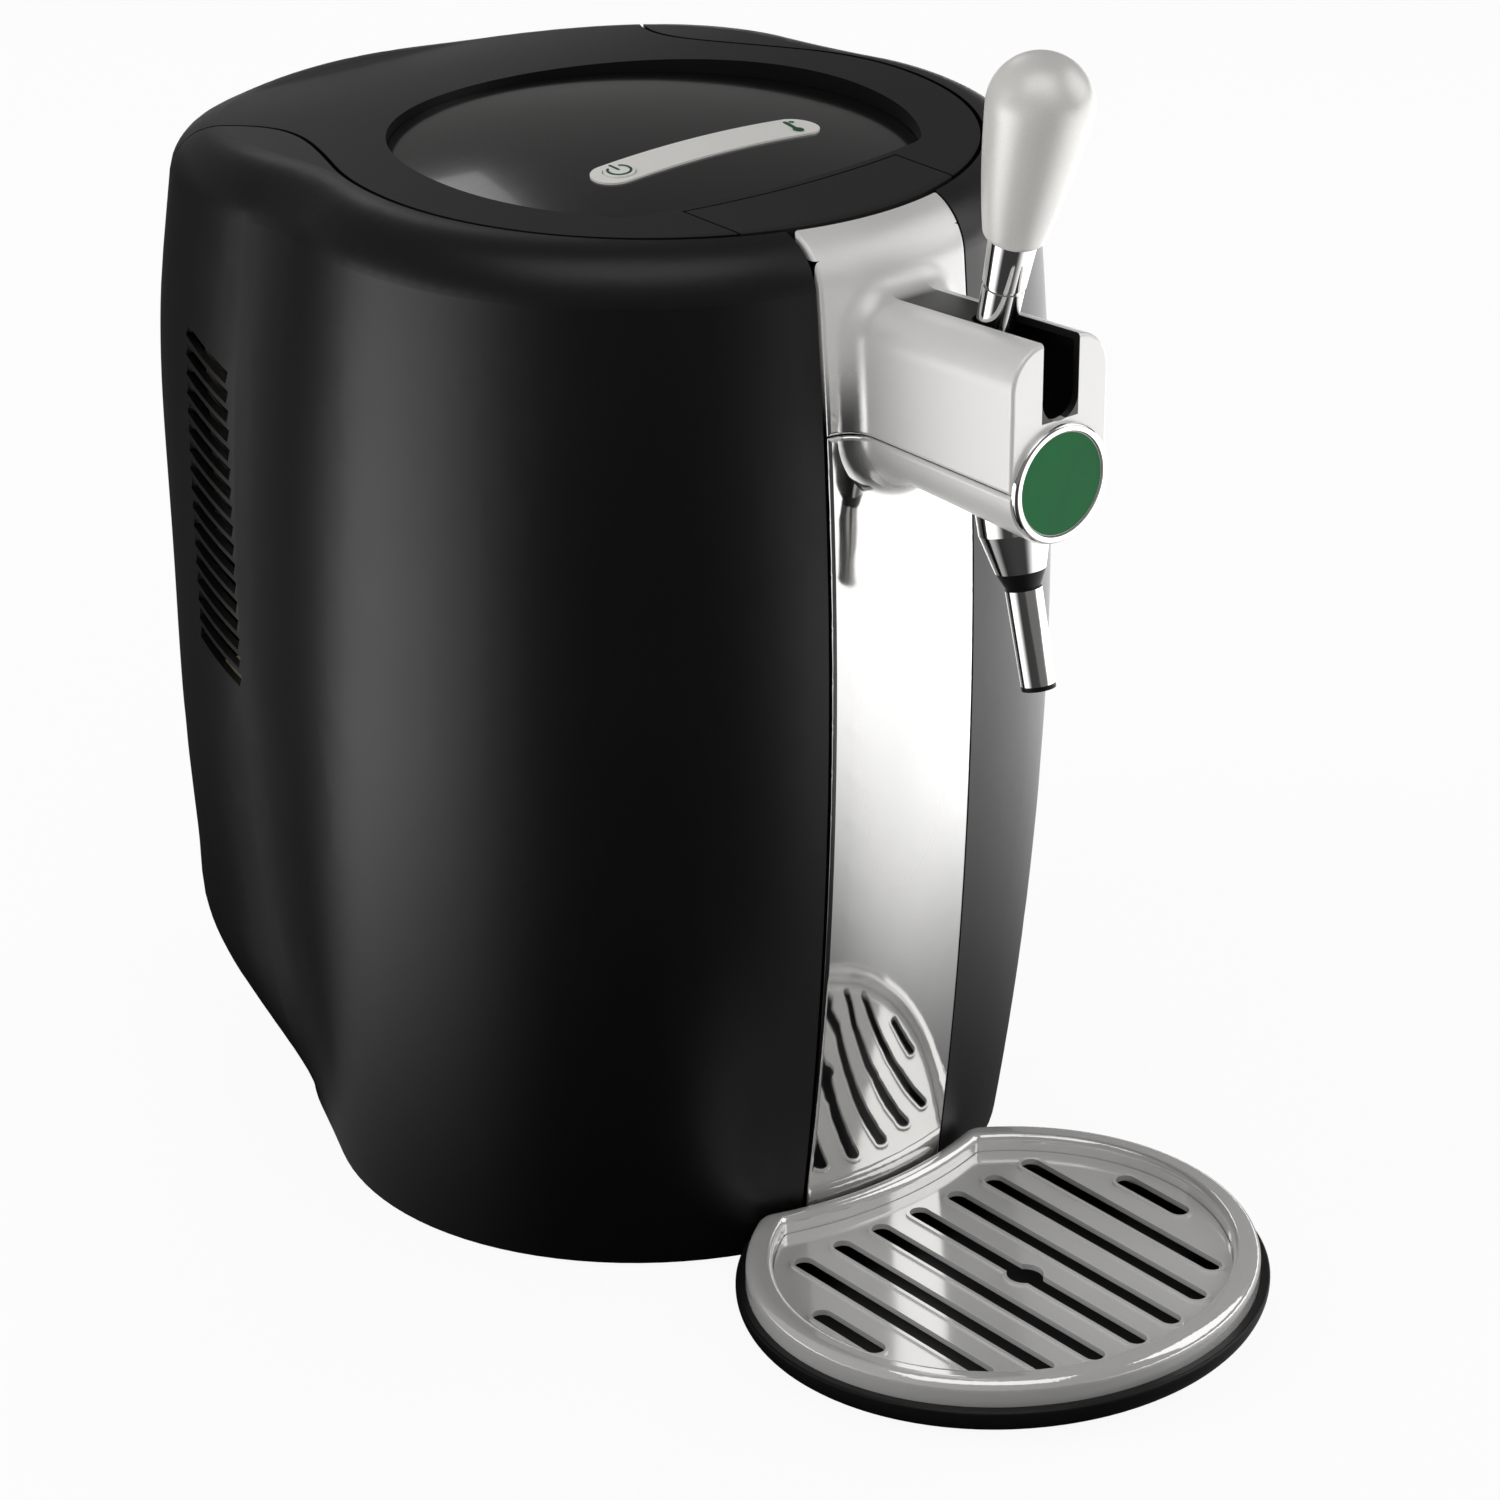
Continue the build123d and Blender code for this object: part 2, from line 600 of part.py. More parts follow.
def add_lid_hinge_lugs(shell):
    """Notch the back of the housing and stand the lid hinge's three lugs in it."""
    shell -= slab(
        (-HINGE_NOTCH, BULKHEAD_Y, HINGE_NOTCH_BOTTOM), (HINGE_NOTCH, TOOL_REACH, BODY_TOP)
    )
    low = HINGE_NOTCH_BOTTOM - WALL
    middle = LID_KNUCKLE_START - FIT
    outer = LID_KNUCKLE_END + FIT
    lugs = []
    for start, end in ((-middle, middle), (outer, HINGE_NOTCH + 1), (-HINGE_NOTCH - 1, -outer)):
        lugs.append(
            rod(LID_HINGE_RADIUS, end - start, ((start + end) / 2, LID_HINGE_Y, LID_HINGE_Z), "X")
        )
        lugs.append(
            slab(
                (start, LID_HINGE_Y - LID_HINGE_RADIUS, low),
                (end, LID_HINGE_Y + LID_HINGE_RADIUS, LID_HINGE_Z),
            )
        )
    shelf = slab(
        (-HINGE_NOTCH - 1, LID_HINGE_Y - LID_HINGE_RADIUS, low),
        (HINGE_NOTCH + 1, TOOL_REACH, HINGE_NOTCH_BOTTOM),
    )
    shell = shell.fuse(*lugs, shelf & INNER)
    length = 2 * (HINGE_NOTCH + 1)
    return shell - rod(LID_PIN_RADIUS, length, (0, LID_HINGE_Y, LID_HINGE_Z), "X")


def panel_screw_places():
    """Heights and turns about the rear axis of the rear panel's four screws."""
    turn = degrees(atan2(PANEL_HALF_WIDTH - PANEL_LAP, rear_round(PANEL_TOP)[0]))
    low = PANEL_BOTTOM + PANEL_LAP
    high = PANEL_TOP - PANEL_LAP
    return [(z, side * turn) for z in (low, high) for side in (-1, 1)]


def at_screw(place, piece):
    """Move a piece, drawn along +Y from the origin, to one of the panel's screws."""
    z, turn = place
    radius, centre = rear_round(z)
    return Pos(0, centre, z) * Rot(0, 0, turn) * Pos(0, radius, 0) * piece


def screw_shank(place, radius):
    """The space of a panel screw's shank."""
    return at_screw(place, rod(radius, SCREW_LENGTH, (0, -SCREW_LENGTH / 2, 0), "Y"))


def screw_seat(place, gap):
    """The space of a panel screw's sunk head."""
    depth = WALL / 2
    return at_screw(place, rod(SCREW_HEAD + gap, depth, (0, -depth / 2, 0), "Y"))


def make_panel_screws():
    """Four screws with sunk heads and a cross recess."""
    upright = slab((-CROSS_HALF_WIDTH, -CROSS_DEPTH, -CROSS_REACH), (CROSS_HALF_WIDTH, 1, CROSS_REACH))
    level = slab((-CROSS_REACH, -CROSS_DEPTH, -CROSS_HALF_WIDTH), (CROSS_REACH, 1, CROSS_HALF_WIDTH))
    cross = upright + level
    screws = []
    for place in panel_screw_places():
        screws.append(
            screw_shank(place, SCREW_RADIUS) + screw_seat(place, 0) - at_screw(place, cross)
        )
    return screws


def make_rear_panel():
    """Back cover with exhaust slots, flush with the round of the housing."""
    panel = (OUTER - PANEL_BACK) & panel_block(-FIT)
    inner = GRILLE_RIB / 2
    for i in range(GRILLE_COUNT):
        z = INLET_Z + 2 * INLET_HEIGHT + GRILLE_PITCH * i
        slot = slab(
            (inner, FAN_BACK, z - GRILLE_HEIGHT / 2),
            (GRILLE_HALF_WIDTH, TOOL_REACH, z + GRILLE_HEIGHT / 2),
        )
        panel -= mirrored(slot)
    panel -= inlet_block(FIT, FAN_BACK, TOOL_REACH)
    for place in panel_screw_places():
        panel -= screw_shank(place, SCREW_RADIUS + RUNNING)
        panel -= screw_seat(place, RUNNING)
    return panel


# ----------------------------------------------------------------------- base
def make_base():
    """Base plate that closes the housing, notched for the tray's tongue."""
    return (LINING & layer(BASE_BOTTOM, BASE_TOP)) - tongue_slot(FIT)


def make_pads():
    """Four rubber feet under the base plate."""
    pad = Pos(0, 0, BASE_BOTTOM / 2) * Cylinder(PAD_RADIUS, BASE_BOTTOM)
    return [one for place in (FRONT_PAD, REAR_PAD) for one in mirrored(Pos(*place) * pad)]


# -------------------------------------------------------------------- keg well
def well_tool(radius, bottom):
    """A round space about the barrel's axis, up to the top deck."""
    return Pos(0, 0, (bottom + DECK_BOTTOM) / 2) * Cylinder(radius, DECK_BOTTOM - bottom)


def cold_window(gap, front, back):
    """The passage of the cold block through the insulation."""
    half = COLD_SIZE / 2 + gap
    return slab((-half, front, COLD_HEIGHT - half), (half, back, COLD_HEIGHT + half))


def probe_rod(radius, start, end):
    """A cylinder along the temperature probe's axis."""
    return rod(radius, end - start, (0, (start + end) / 2, PROBE_HEIGHT), "Y")


def make_keg_liner():
    """Round inner lining of the keg well, with a floor."""
    bottom = CUP_FLOOR - LINER_WALL
    liner = well_tool(WELL_RADIUS, bottom) - well_tool(LINER_RADIUS, CUP_FLOOR)
    return liner - cold_window(FIT, 0, BULKHEAD_Y) - probe_rod(PROBE_RADIUS + FIT, 0, BULKHEAD_Y)


def make_cooling_cup():
    """Aluminium cup that carries the keg, with a pad for the cold block."""
    outer = Pos(0, 0, CUP_FLOOR + CUP_HEIGHT / 2) * Cylinder(LINER_RADIUS - FIT, CUP_HEIGHT)
    pad = cold_window(0, 0, LINER_RADIUS + CUP_WALL)
    keg = Pos(0, 0, CUP_FLOOR + CUP_WALL + CUP_HEIGHT / 2) * Cylinder(
        KEG_RADIUS + KEG_PLAY, CUP_HEIGHT
    )
    return outer + pad - keg


def side_ducts():
    """Air passages behind the side vents."""
    duct = slab(
        (DUCT_X, VENT_FRONT - DUCT_MARGIN, VENT_LOWEST - 2 * DUCT_MARGIN),
        (TOOL_REACH, TOOL_REACH, VENT_TOP + 2 * DUCT_MARGIN),
    )
    return mirrored(duct)


def make_insulation():
    """Foam between the keg well and the front of the housing."""
    foam = LINING & slab(
        (-TOOL_REACH, -TOOL_REACH, BASE_TOP + FIT), (TOOL_REACH, BULKHEAD_Y - FIT, DECK_BOTTOM - FIT)
    )
    half = CHANNEL_HALF + COLUMN_CHEEK + FIT
    front = barrel_front(half, COLUMN_BOTTOM, COLUMN_SET_BACK + 2 * WALL) + 2 * FIT
    foam -= slab((-half, -TOOL_REACH, 0), (half, front, BODY_TOP))
    foam -= tongue_slot(FIT)
    foam -= well_tool(WELL_RADIUS + FIT, CUP_FLOOR - LINER_WALL)
    foam -= cold_window(FIT, 0, BULKHEAD_Y)
    foam -= probe_rod(PROBE_RADIUS + FIT, 0, BULKHEAD_Y)
    return foam - side_ducts()


def make_top_deck():
    """Flat deck round the mouth of the keg well, under the lid."""
    deck = LINING & layer(DECK_BOTTOM, DECK_TOP)
    front = barrel_front(CHANNEL_HALF + COLUMN_CHEEK, DECK_TOP, COLUMN_SET_BACK + 2 * WALL)
    deck -= slab(
        (-CHANNEL_HALF - COLUMN_CHEEK - FIT, -TOOL_REACH, DECK_BOTTOM - 1),
        (CHANNEL_HALF + COLUMN_CHEEK + FIT, front + 3 + 2 * FIT, BODY_TOP),
    )
    deck -= slab(
        (-HINGE_NOTCH - 1 - FIT, LID_HINGE_Y - 2 * LID_HINGE_RADIUS, 0),
        (HINGE_NOTCH + 1 + FIT, TOOL_REACH, BODY_TOP),
    )
    return deck - Pos(0, 0, DECK_TOP) * Cylinder(LINER_RADIUS, 4 * DECK_THICKNESS)


def make_gasket():
    """Soft ring on the deck that seals the lid."""
    height = LID_FLOOR - LINER_FLANGE_THICKNESS - DECK_TOP - RUNNING
    ring = Cylinder(GASKET_RADIUS + GASKET_WIDTH / 2, height)
    ring -= Cylinder(GASKET_RADIUS - GASKET_WIDTH / 2, height)
    return Pos(0, 0, DECK_TOP + height / 2) * ring


# ---------------------------------------------------------- cooling machinery
def standoffs(half_width, low, high, back, radius):
    """Four round supports on the back of the bulkhead."""
    length = back - BULKHEAD_BACK
    middle = (BULKHEAD_BACK + back) / 2
    supports = []
    for z in (low, high):
        supports += mirrored(rod(radius, length, (half_width, middle, z), "Y"))
    return supports


def make_bulkhead():
    """Wall between the cold well and the machinery, with supports."""
    wall = LINING & slab(
        (-TOOL_REACH, BULKHEAD_Y, BASE_TOP + FIT), (TOOL_REACH, BULKHEAD_BACK, DECK_BOTTOM - FIT)
    )
    edge = STANDOFF_EDGE
    for half, low, high in (CONTROL_BOARD, SUPPLY_BOARD):
        places = (half - edge, low + edge, high - edge)
        wall = wall.fuse(*standoffs(*places, BOARD_FACE, STANDOFF_RADIUS))
    low = COLD_HEIGHT - SINK_HEIGHT / 2 + edge
    high = COLD_HEIGHT + SINK_HEIGHT / 2 - edge
    wall = wall.fuse(*standoffs(SINK_WIDTH / 2 - edge, low, high, SINK_FACE, SINK_STANDOFF_RADIUS))
    wall -= cold_window(FIT, 0, TOOL_REACH)
    wall -= probe_rod(PROBE_RADIUS + FIT, 0, TOOL_REACH)
    return wall - side_ducts()


def make_cold_block():
    """Aluminium block between the cooling cup and the Peltier module."""
    return cold_window(0, LINER_RADIUS + CUP_WALL, COLD_BACK)


def make_peltier():
    """Peltier module between the cold block and the heat sink."""
    half = PELTIER_SIZE / 2
    low, high = COLD_HEIGHT - half, COLD_HEIGHT + half
    return slab((-half, COLD_BACK, low), (half, SINK_FACE, high))


def make_heat_sink():
    """Finned heat sink behind the Peltier module."""
    low, high = COLD_HEIGHT - SINK_HEIGHT / 2, COLD_HEIGHT + SINK_HEIGHT / 2
    half = SINK_WIDTH / 2
    sink = slab((-half, SINK_FACE, low), (half, FIN_FACE, high))
    pitch = (SINK_WIDTH - FIN_THICKNESS) / (FIN_COUNT - 1)
    fins = []
    for i in range(FIN_COUNT):
        x = -half + pitch * i
        fins.append(slab((x, FIN_FACE, low), (x + FIN_THICKNESS, FAN_FACE, high)))
    return sink.fuse(*fins)


def make_fan_frame():
    """Square fan frame with four struts, a motor plate and the rotor's shaft."""
    middle = (FAN_FACE + FAN_BACK) / 2
    half = FAN_SIZE / 2
    frame = slab(
        (-half, FAN_FACE, COLD_HEIGHT - half), (half, FAN_BACK, COLD_HEIGHT + half)
    )
    frame = fillet(frame.edges().filter_by(Axis.Y), FAN_CORNER)
    frame -= rod(FAN_BORE, 2 * FAN_DEPTH, (0, middle, COLD_HEIGHT), "Y")
    plate = FAN_PLATE
    y = FAN_BACK - plate / 2
    struts = [
        Pos(0, y, COLD_HEIGHT) * Rot(0, 45 + 90 * i, 0) * Pos(FAN_BORE / 2 + 3, 0, 0)
        * Box(FAN_BORE + 1, plate, FAN_STRUT)
        for i in range(4)
    ]
    motor = rod(FAN_HUB, plate, (0, y, COLD_HEIGHT), "Y")
    shaft = rod(FAN_SHAFT, FAN_DEPTH - plate, (0, middle, COLD_HEIGHT), "Y")
    return frame.fuse(motor, shaft, *struts)


def make_fan_rotor():
    """Rotor that runs on the frame's shaft."""
    front = FAN_FACE + FAN_TIP_GAP
    back = FAN_BACK - FAN_PLATE - 1
    middle = (front + back) / 2
    hub = rod(FAN_HUB, back - front, (0, middle, COLD_HEIGHT), "Y")
    reach = FAN_BORE - FAN_TIP_GAP
    length = reach - FAN_HUB + FAN_TIP_GAP
    blade = Rot(FAN_BLADE_TURN, 0, 0) * Box(length, *FAN_BLADE)
    blade = Pos(FAN_HUB - FAN_TIP_GAP + length / 2, 0, 0) * blade
    blades = [
        Pos(0, middle, COLD_HEIGHT) * Rot(0, 360 / FAN_BLADES * i, 0) * blade
        for i in range(FAN_BLADES)
    ]
    limit = rod(reach, back - front, (0, middle, COLD_HEIGHT), "Y")
    rotor = hub.fuse(*blades) & limit
    return rotor - rod(FAN_SHAFT + RUNNING, FAN_DEPTH * 2, (0, middle, COLD_HEIGHT), "Y")


def make_board(board, parts):
    """A circuit board on the bulkhead's supports, with its tallest components."""
    half, low, high = board
    back = BOARD_FACE + BOARD_THICKNESS
    plate = slab((-half, BOARD_FACE, low), (half, back, high))
    blocks = [
        slab((x, back, low + z), (x + width, back + depth, low + z + height))
        for x, z, width, height, depth in parts
    ]
    return plate.fuse(*blocks)


def make_probe():
    """Temperature probe from the bulkhead to the keg's side."""
    start = KEG_RADIUS + KEG_PLAY
    end = BULKHEAD_BACK + PROBE_FLANGE_THICKNESS
    flange = probe_rod(PROBE_RADIUS + PROBE_FLANGE, BULKHEAD_BACK, end)
    return probe_rod(PROBE_RADIUS, start, end) + flange


def inlet_block(gap, front, back):
    """The outline of the power inlet's body, as a block along Y."""
    half = INLET_WIDTH / 2 + gap
    low = INLET_Z - INLET_HEIGHT / 2 - gap
    return slab((-half, front, low), (half, back, low + INLET_HEIGHT + 2 * gap))


def inlet_face():
    """Y of the plane on which the inlet's flange rests, just behind the panel."""
    return rear_face(0, INLET_Z + INLET_HEIGHT / 2 + INLET_FLANGE) + 2 * FIT


def make_inlet():
    """Power inlet with a recessed socket in the rear panel."""
    face = inlet_face()
    body = inlet_block(0, face - INLET_DEPTH, face)
    flange = inlet_block(INLET_FLANGE, face, face + INLET_FLANGE_THICKNESS)
    socket = inlet_block(-INLET_WALL, face - INLET_DEPTH + INLET_WALL, face + INLET_WALL)
    return body + flange - socket


def make_inlet_pins():
    """Two contacts in the inlet's socket."""
    face = inlet_face()
    start = face - INLET_DEPTH + INLET_WALL
    middle = (CONTACT_X, start + CONTACT_LENGTH / 2, INLET_Z)
    return mirrored(rod(CONTACT_RADIUS, CONTACT_LENGTH, middle, "Y"))


# -------------------------------------------------------------------------- lid
def make_lid_shell():
    """Moulded lid: skirt, floor, oval recess and the rear cap with its hinge."""
    block = OUTER & lid_region(SEAM, CAP_SEAM + SEAM)
    inside = INNER & lid_region(SEAM + WALL, CAP_SEAM)
    hollow = (inside & layer(FLOOR_TOP, BODY_TOP)) - recess_region(-WALL, LID_FLOOR)
    shell = block - hollow - (inside & layer(CAP_SEAM, LID_FLOOR))
    shell -= recess_region(0, FLOOR_TOP)
    key_space = release_region(0, FLOOR_TOP) - recess_region(-WALL, LID_FLOOR)
    shell -= key_space
    hook_half = HOOK_HALF_WIDTH + 1
    shell -= slab(
        (-hook_half, HOOK_Y - 4, CAP_SEAM), (hook_half, HOOK_Y + HOOK_THICKNESS + 4, BODY_TOP)
    )
    posts = []
    for side in (-1, 1):
        x = side * (RELEASE_HALF_WIDTH - POST_INSET)
        post = slab(
            (x - POST_THICKNESS / 2, RELEASE_PIVOT_Y - WALL, LID_FLOOR),
            (x + POST_THICKNESS / 2, RELEASE_PIVOT_Y + WALL, RELEASE_PIVOT_Z + WALL),
        )
        posts.append(post - recess_region(-WALL, LID_FLOOR + 1))
    shell = shell.fuse(*posts)
    length = 2 * (RELEASE_HALF_WIDTH - POST_THICKNESS)
    pin = rod(RELEASE_PIN_RADIUS, length, (0, RELEASE_PIVOT_Y, RELEASE_PIVOT_Z), "X")
    return add_lid_knuckles(shell - pin)


def add_lid_knuckles(shell):
    """The lid's two hinge knuckles, hanging from the rear cap."""
    knuckles = []
    for start, end in (
        (LID_KNUCKLE_START, LID_KNUCKLE_END),
        (-LID_KNUCKLE_END, -LID_KNUCKLE_START),
    ):
        middle = (start + end) / 2
        knuckles.append(
            rod(LID_HINGE_RADIUS, end - start, (middle, LID_HINGE_Y, LID_HINGE_Z), "X")
        )
        tab = slab(
            (start, LID_HINGE_Y - LID_HINGE_RADIUS, LID_HINGE_Z),
            (end, LID_HINGE_Y + LID_HINGE_RADIUS - 0.5, LID_FLOOR + 1),
        )
        knuckles.append(tab & OUTER)
    shell = shell.fuse(*knuckles)
    length = 2 * LID_KNUCKLE_END + 2
    return shell - rod(LID_PIN_RADIUS + RUNNING, length, (0, LID_HINGE_Y, LID_HINGE_Z), "X")


def make_lid_pin():
    """Steel pin through the lid's hinge, held by the housing's outer lugs."""
    length = 2 * HINGE_NOTCH + 1
    return rod(LID_PIN_RADIUS, length, (0, LID_HINGE_Y, LID_HINGE_Z), "X")


def make_lid_liner():
    """Insulated plug under the lid that dips into the keg well."""
    bottom = LID_FLOOR - LINER_FLANGE_THICKNESS
    flange = Pos(0, 0, (bottom + LID_FLOOR) / 2) * Cylinder(LINER_FLANGE_RADIUS, LID_FLOOR - bottom)
    plug = Pos(0, 0, bottom - PLUG_DEPTH / 2) * Cylinder(PLUG_RADIUS, PLUG_DEPTH)
    plug = chamfer(plug.faces().sort_by(Axis.Z)[0].edges(), PLUG_CHAMFER)
    return flange + plug


def dome_ball(rise):
    """Sphere of the dome's outer surface, moved outwards by a distance."""
    return Pos(0, DOME_CENTRE, DOME_TOP - DOME_RADIUS) * Sphere(DOME_RADIUS + rise)


def strip_block(gap):
    """The outline of the control strip, through the dome."""
    plan = SlotOverall(STRIP_LENGTH + 2 * gap, STRIP_WIDTH + 2 * gap)
    return Pos(0, STRIP_Y, LID_FLOOR) * extrude(plan, amount=2 * (DOME_TOP - LID_FLOOR))


def key_rod(gap):
    """The space of the power key through the strip and the dome."""
    return Pos(KEY_X, STRIP_Y, DOME_TOP) * Cylinder(KEY_RADIUS + gap, 30)


def make_dome():
    """Glossy domed cover in the lid's recess, with a seat for the strip."""
    outer = recess_region(FIT, FLOOR_TOP) & dome_ball(0)
    inner = recess_region(FIT + WALL, FLOOR_TOP) & dome_ball(-WALL)
    shell = outer - inner
    seat = strip_block(RUNNING) - dome_ball(-STRIP_SINK)
    return shell - seat - key_rod(FIT)


def make_strip():
    """Curved control strip across the dome."""
    strip = strip_block(0) & (dome_ball(STRIP_THICKNESS - STRIP_SINK) - dome_ball(-STRIP_SINK))
    return strip - key_rod(FIT)


def make_power_key():
    """Round power key, held under the dome by its flange."""
    top = STRIP_THICKNESS - STRIP_SINK + KEY_PROUD
    stem = (key_rod(0) & dome_ball(top)) & layer(FLOOR_TOP + 3, DOME_TOP + STRIP_THICKNESS)
    drop = hypot(KEY_X, STRIP_Y - DOME_CENTRE) + KEY_RADIUS + 2
    under = DOME_TOP - DOME_RADIUS + sqrt((DOME_RADIUS - WALL) ** 2 - drop**2) - FIT
    flange = Pos(KEY_X, STRIP_Y, under - 0.6) * Cylinder(KEY_RADIUS + 1.6, 1.2)
    return stem + flange


def make_release():
    """Front segment of the lid: a key that rocks and carries the latch hook."""
    block = OUTER & lid_region(SEAM, FLOOR_TOP + RELEASE_ROOM)
    block = (block & release_region(RELEASE_GAP, FLOOR_TOP)) - recess_region(
        -WALL - RELEASE_GAP, FLOOR_TOP
    )
    inside = INNER & lid_region(SEAM + WALL, CAP_SEAM)
    inside = (inside & release_region(RELEASE_GAP + WALL, CAP_SEAM)) - recess_region(
        -2 * WALL - RELEASE_GAP, CAP_SEAM
    )
    key = block - inside
    hook_top = BODY_TOP - WALL
    plate = slab(
        (-HOOK_HALF_WIDTH, HOOK_Y, HOOK_BOTTOM), (HOOK_HALF_WIDTH, HOOK_Y + HOOK_THICKNESS, hook_top)
    )
    barb = slab(
        (-HOOK_HALF_WIDTH, HOOK_Y - BARB, HOOK_BOTTOM),
        (HOOK_HALF_WIDTH, HOOK_Y, HOOK_BOTTOM + BARB_HEIGHT),
    )
    arms = []
    for side in (-1, 1):
        x = side * (RELEASE_HALF_WIDTH - ARM_INSET)
        half = ARM_THICKNESS / 2
        arm = slab(
            (x - half, RELEASE_PIVOT_Y - ARM_HALF_DEPTH, RELEASE_PIVOT_Z),
            (x + half, RELEASE_PIVOT_Y + ARM_HALF_DEPTH, hook_top),
        )
        arms.append(arm & OUTER)
        axis = (x, RELEASE_PIVOT_Y, RELEASE_PIVOT_Z)
        arms.append(rod(ARM_HALF_DEPTH, ARM_THICKNESS, axis, "X"))
    key = key.fuse(plate, barb, *arms)
    length = 2 * RELEASE_HALF_WIDTH
    axis = (0, RELEASE_PIVOT_Y, RELEASE_PIVOT_Z)
    return key - rod(RELEASE_PIN_RADIUS + RUNNING, length, axis, "X")


def make_release_pins():
    """Two short pins on which the release rocks."""
    x = RELEASE_HALF_WIDTH - RELEASE_PIN_INSET - RELEASE_PIN_LENGTH / 2
    axis = (x, RELEASE_PIVOT_Y, RELEASE_PIVOT_Z)
    return mirrored(rod(RELEASE_PIN_RADIUS, RELEASE_PIN_LENGTH, axis, "X"))


def make_release_spring():
    """Leaf spring between the lid's floor and the release."""
    front = HOOK_Y + HOOK_THICKNESS
    back = front + SPRING_LENGTH
    inner = back - SPRING_THICKNESS
    tip = BODY_TOP - WALL - 2 * SPRING_THICKNESS
    foot = slab(
        (SPRING_X, front, FLOOR_TOP), (SPRING_X + SPRING_WIDTH, back, FLOOR_TOP + SPRING_THICKNESS)
    )
    profile = Plane.YZ.offset(SPRING_X) * make_face(
        Polyline(
            (inner, FLOOR_TOP),
            (back, FLOOR_TOP),
            (back, FLOOR_TOP + SPRING_BEND),
            (front + 1, tip),
            (front, tip - SPRING_THICKNESS),
            (inner, FLOOR_TOP + SPRING_BEND - SPRING_THICKNESS),
            close=True,
        )
    )
    return mirrored(foot + extrude(profile, amount=SPRING_WIDTH))


def make_keeper():
    """Catch on the top deck under whose lip the latch hook's barb lies."""
    wall = KEEPER_WALL
    front = HOOK_Y - BARB - wall - 0.4
    half = HOOK_HALF_WIDTH + HOOK_THICKNESS
    lip = HOOK_BOTTOM + BARB_HEIGHT + FIT
    foot = slab((-half, front, DECK_TOP), (half, HOOK_Y + BARB, DECK_TOP + wall))
    upright = slab((-half, front, DECK_TOP), (half, front + wall, lip + wall))
    top = slab((-half, front, lip), (half, front + wall + BARB - 0.1, lip + wall))
    return foot + upright + top


# ------------------------------------------------------------- column and tap
def column_skin(bottom, top):
    """Solid of the chromed column between two heights, before it is hollowed."""
    return COLUMN_FACE & column_block(COLUMN_HALF_WIDTH, bottom, top)


def arm_share(y):
    """Share of the way from the tap's front to its root."""
    return (y - ARM_FRONT) / (ARM_ROOT_Y - ARM_FRONT)


def lower_arm(inset, front, rise):
    """Lower half of the tap: a trough with a half-round belly."""
    top = SPLIT_Z - SPLIT_GAP
    sections = []
    for y in (front, ARM_ROOT_Y):
        belly = ARM_BELLY_FRONT + (ARM_BELLY_ROOT - ARM_BELLY_FRONT) * arm_share(y) - inset
        half = ARM_HALF_WIDTH - inset
        bowl = EllipticalCenterArc((0, top), half, belly, start_angle=180, arc_size=180)
        corners = [(half, top), (-half, top)]
        if rise:
            corners[1:1] = [(half, top + rise), (-half, top + rise)]
        sections.append(Plane.XZ.offset(-y) * make_face(bowl + Polyline(*corners)))
    return loft(sections, ruled=True)


def upper_arm(inset, front, bottom):
    """Upper half of the tap: upright sides and rounded upper corners."""
    sections = []
    half = ARM_HALF_WIDTH - inset
    corner = ARM_CORNER - inset
    for y in (front, ARM_ROOT_Y):
        top = ARM_TOP_FRONT + (ARM_TOP_ROOT - ARM_TOP_FRONT) * arm_share(y) - inset
        outline = Polyline((-half, top - corner), (-half, bottom), (half, bottom), (half, top - corner))
        right = ThreePointArc(
            (half, top - corner),
            (half - corner * (1 - sqrt(0.5)), top - corner * (1 - sqrt(0.5))),
            (half - corner, top),
        )
        level = Line((half - corner, top), (corner - half, top))
        left = ThreePointArc(
            (corner - half, top),
            (corner * (1 - sqrt(0.5)) - half, top - corner * (1 - sqrt(0.5))),
            (-half, top - corner),
        )
        sections.append(Plane.XZ.offset(-y) * make_face(outline + right + level + left))
    return loft(sections, ruled=True)


def root_edges(piece):
    """Edges along which the arm meets the column's face."""
    half = ARM_HALF_WIDTH + 1
    edges = []
    for edge in piece.edges().filter_by(GeomType.LINE, reverse=True):
        box = edge.bounding_box()
        if max(-box.min.X, box.max.X) < half and box.max.Y - box.min.Y < ARM_HALF_WIDTH / 2:
            if box.min.Y > -COLUMN_FACE_DEPTH - 5:
                edges.append(edge)
    return edges


def side_edges(piece):
    """Long front edges of the chromed column."""
    edges = []
    for edge in piece.edges().filter_by(GeomType.LINE, reverse=True):
        box = edge.bounding_box()
        flat = box.max.X - box.min.X < RUNNING
        if flat and box.min.Y < barrel_front(COLUMN_HALF_WIDTH, BODY_TOP, SHOULDER_RADIUS):
            edges.append(edge)
    return edges


def make_tap_column():
    """Chromed column with the lower half of the tap."""
    top = SPLIT_Z - SPLIT_GAP
    piece = column_skin(COLUMN_BOTTOM, top) + lower_arm(0, ARM_FRONT + FIT, 0)
    piece = fillet(root_edges(piece), ARM_ROOT_FILLET)
    piece = fillet(side_edges(piece), COLUMN_EDGE_ROUND)
    piece = piece - (COLUMN_BACK & layer(0, top + 1)) - slab(
        (-TOOL_REACH, -100, 0), (TOOL_REACH, 0, BODY_TOP)
    )
    piece -= lower_arm(ARM_WALL, ARM_FRONT + FIT + ARM_WALL, 2)
    return piece - spout_part(0, CONE_LENGTH, SPIGOT_RADIUS + 0.1, SPIGOT_RADIUS + 0.1, 20)


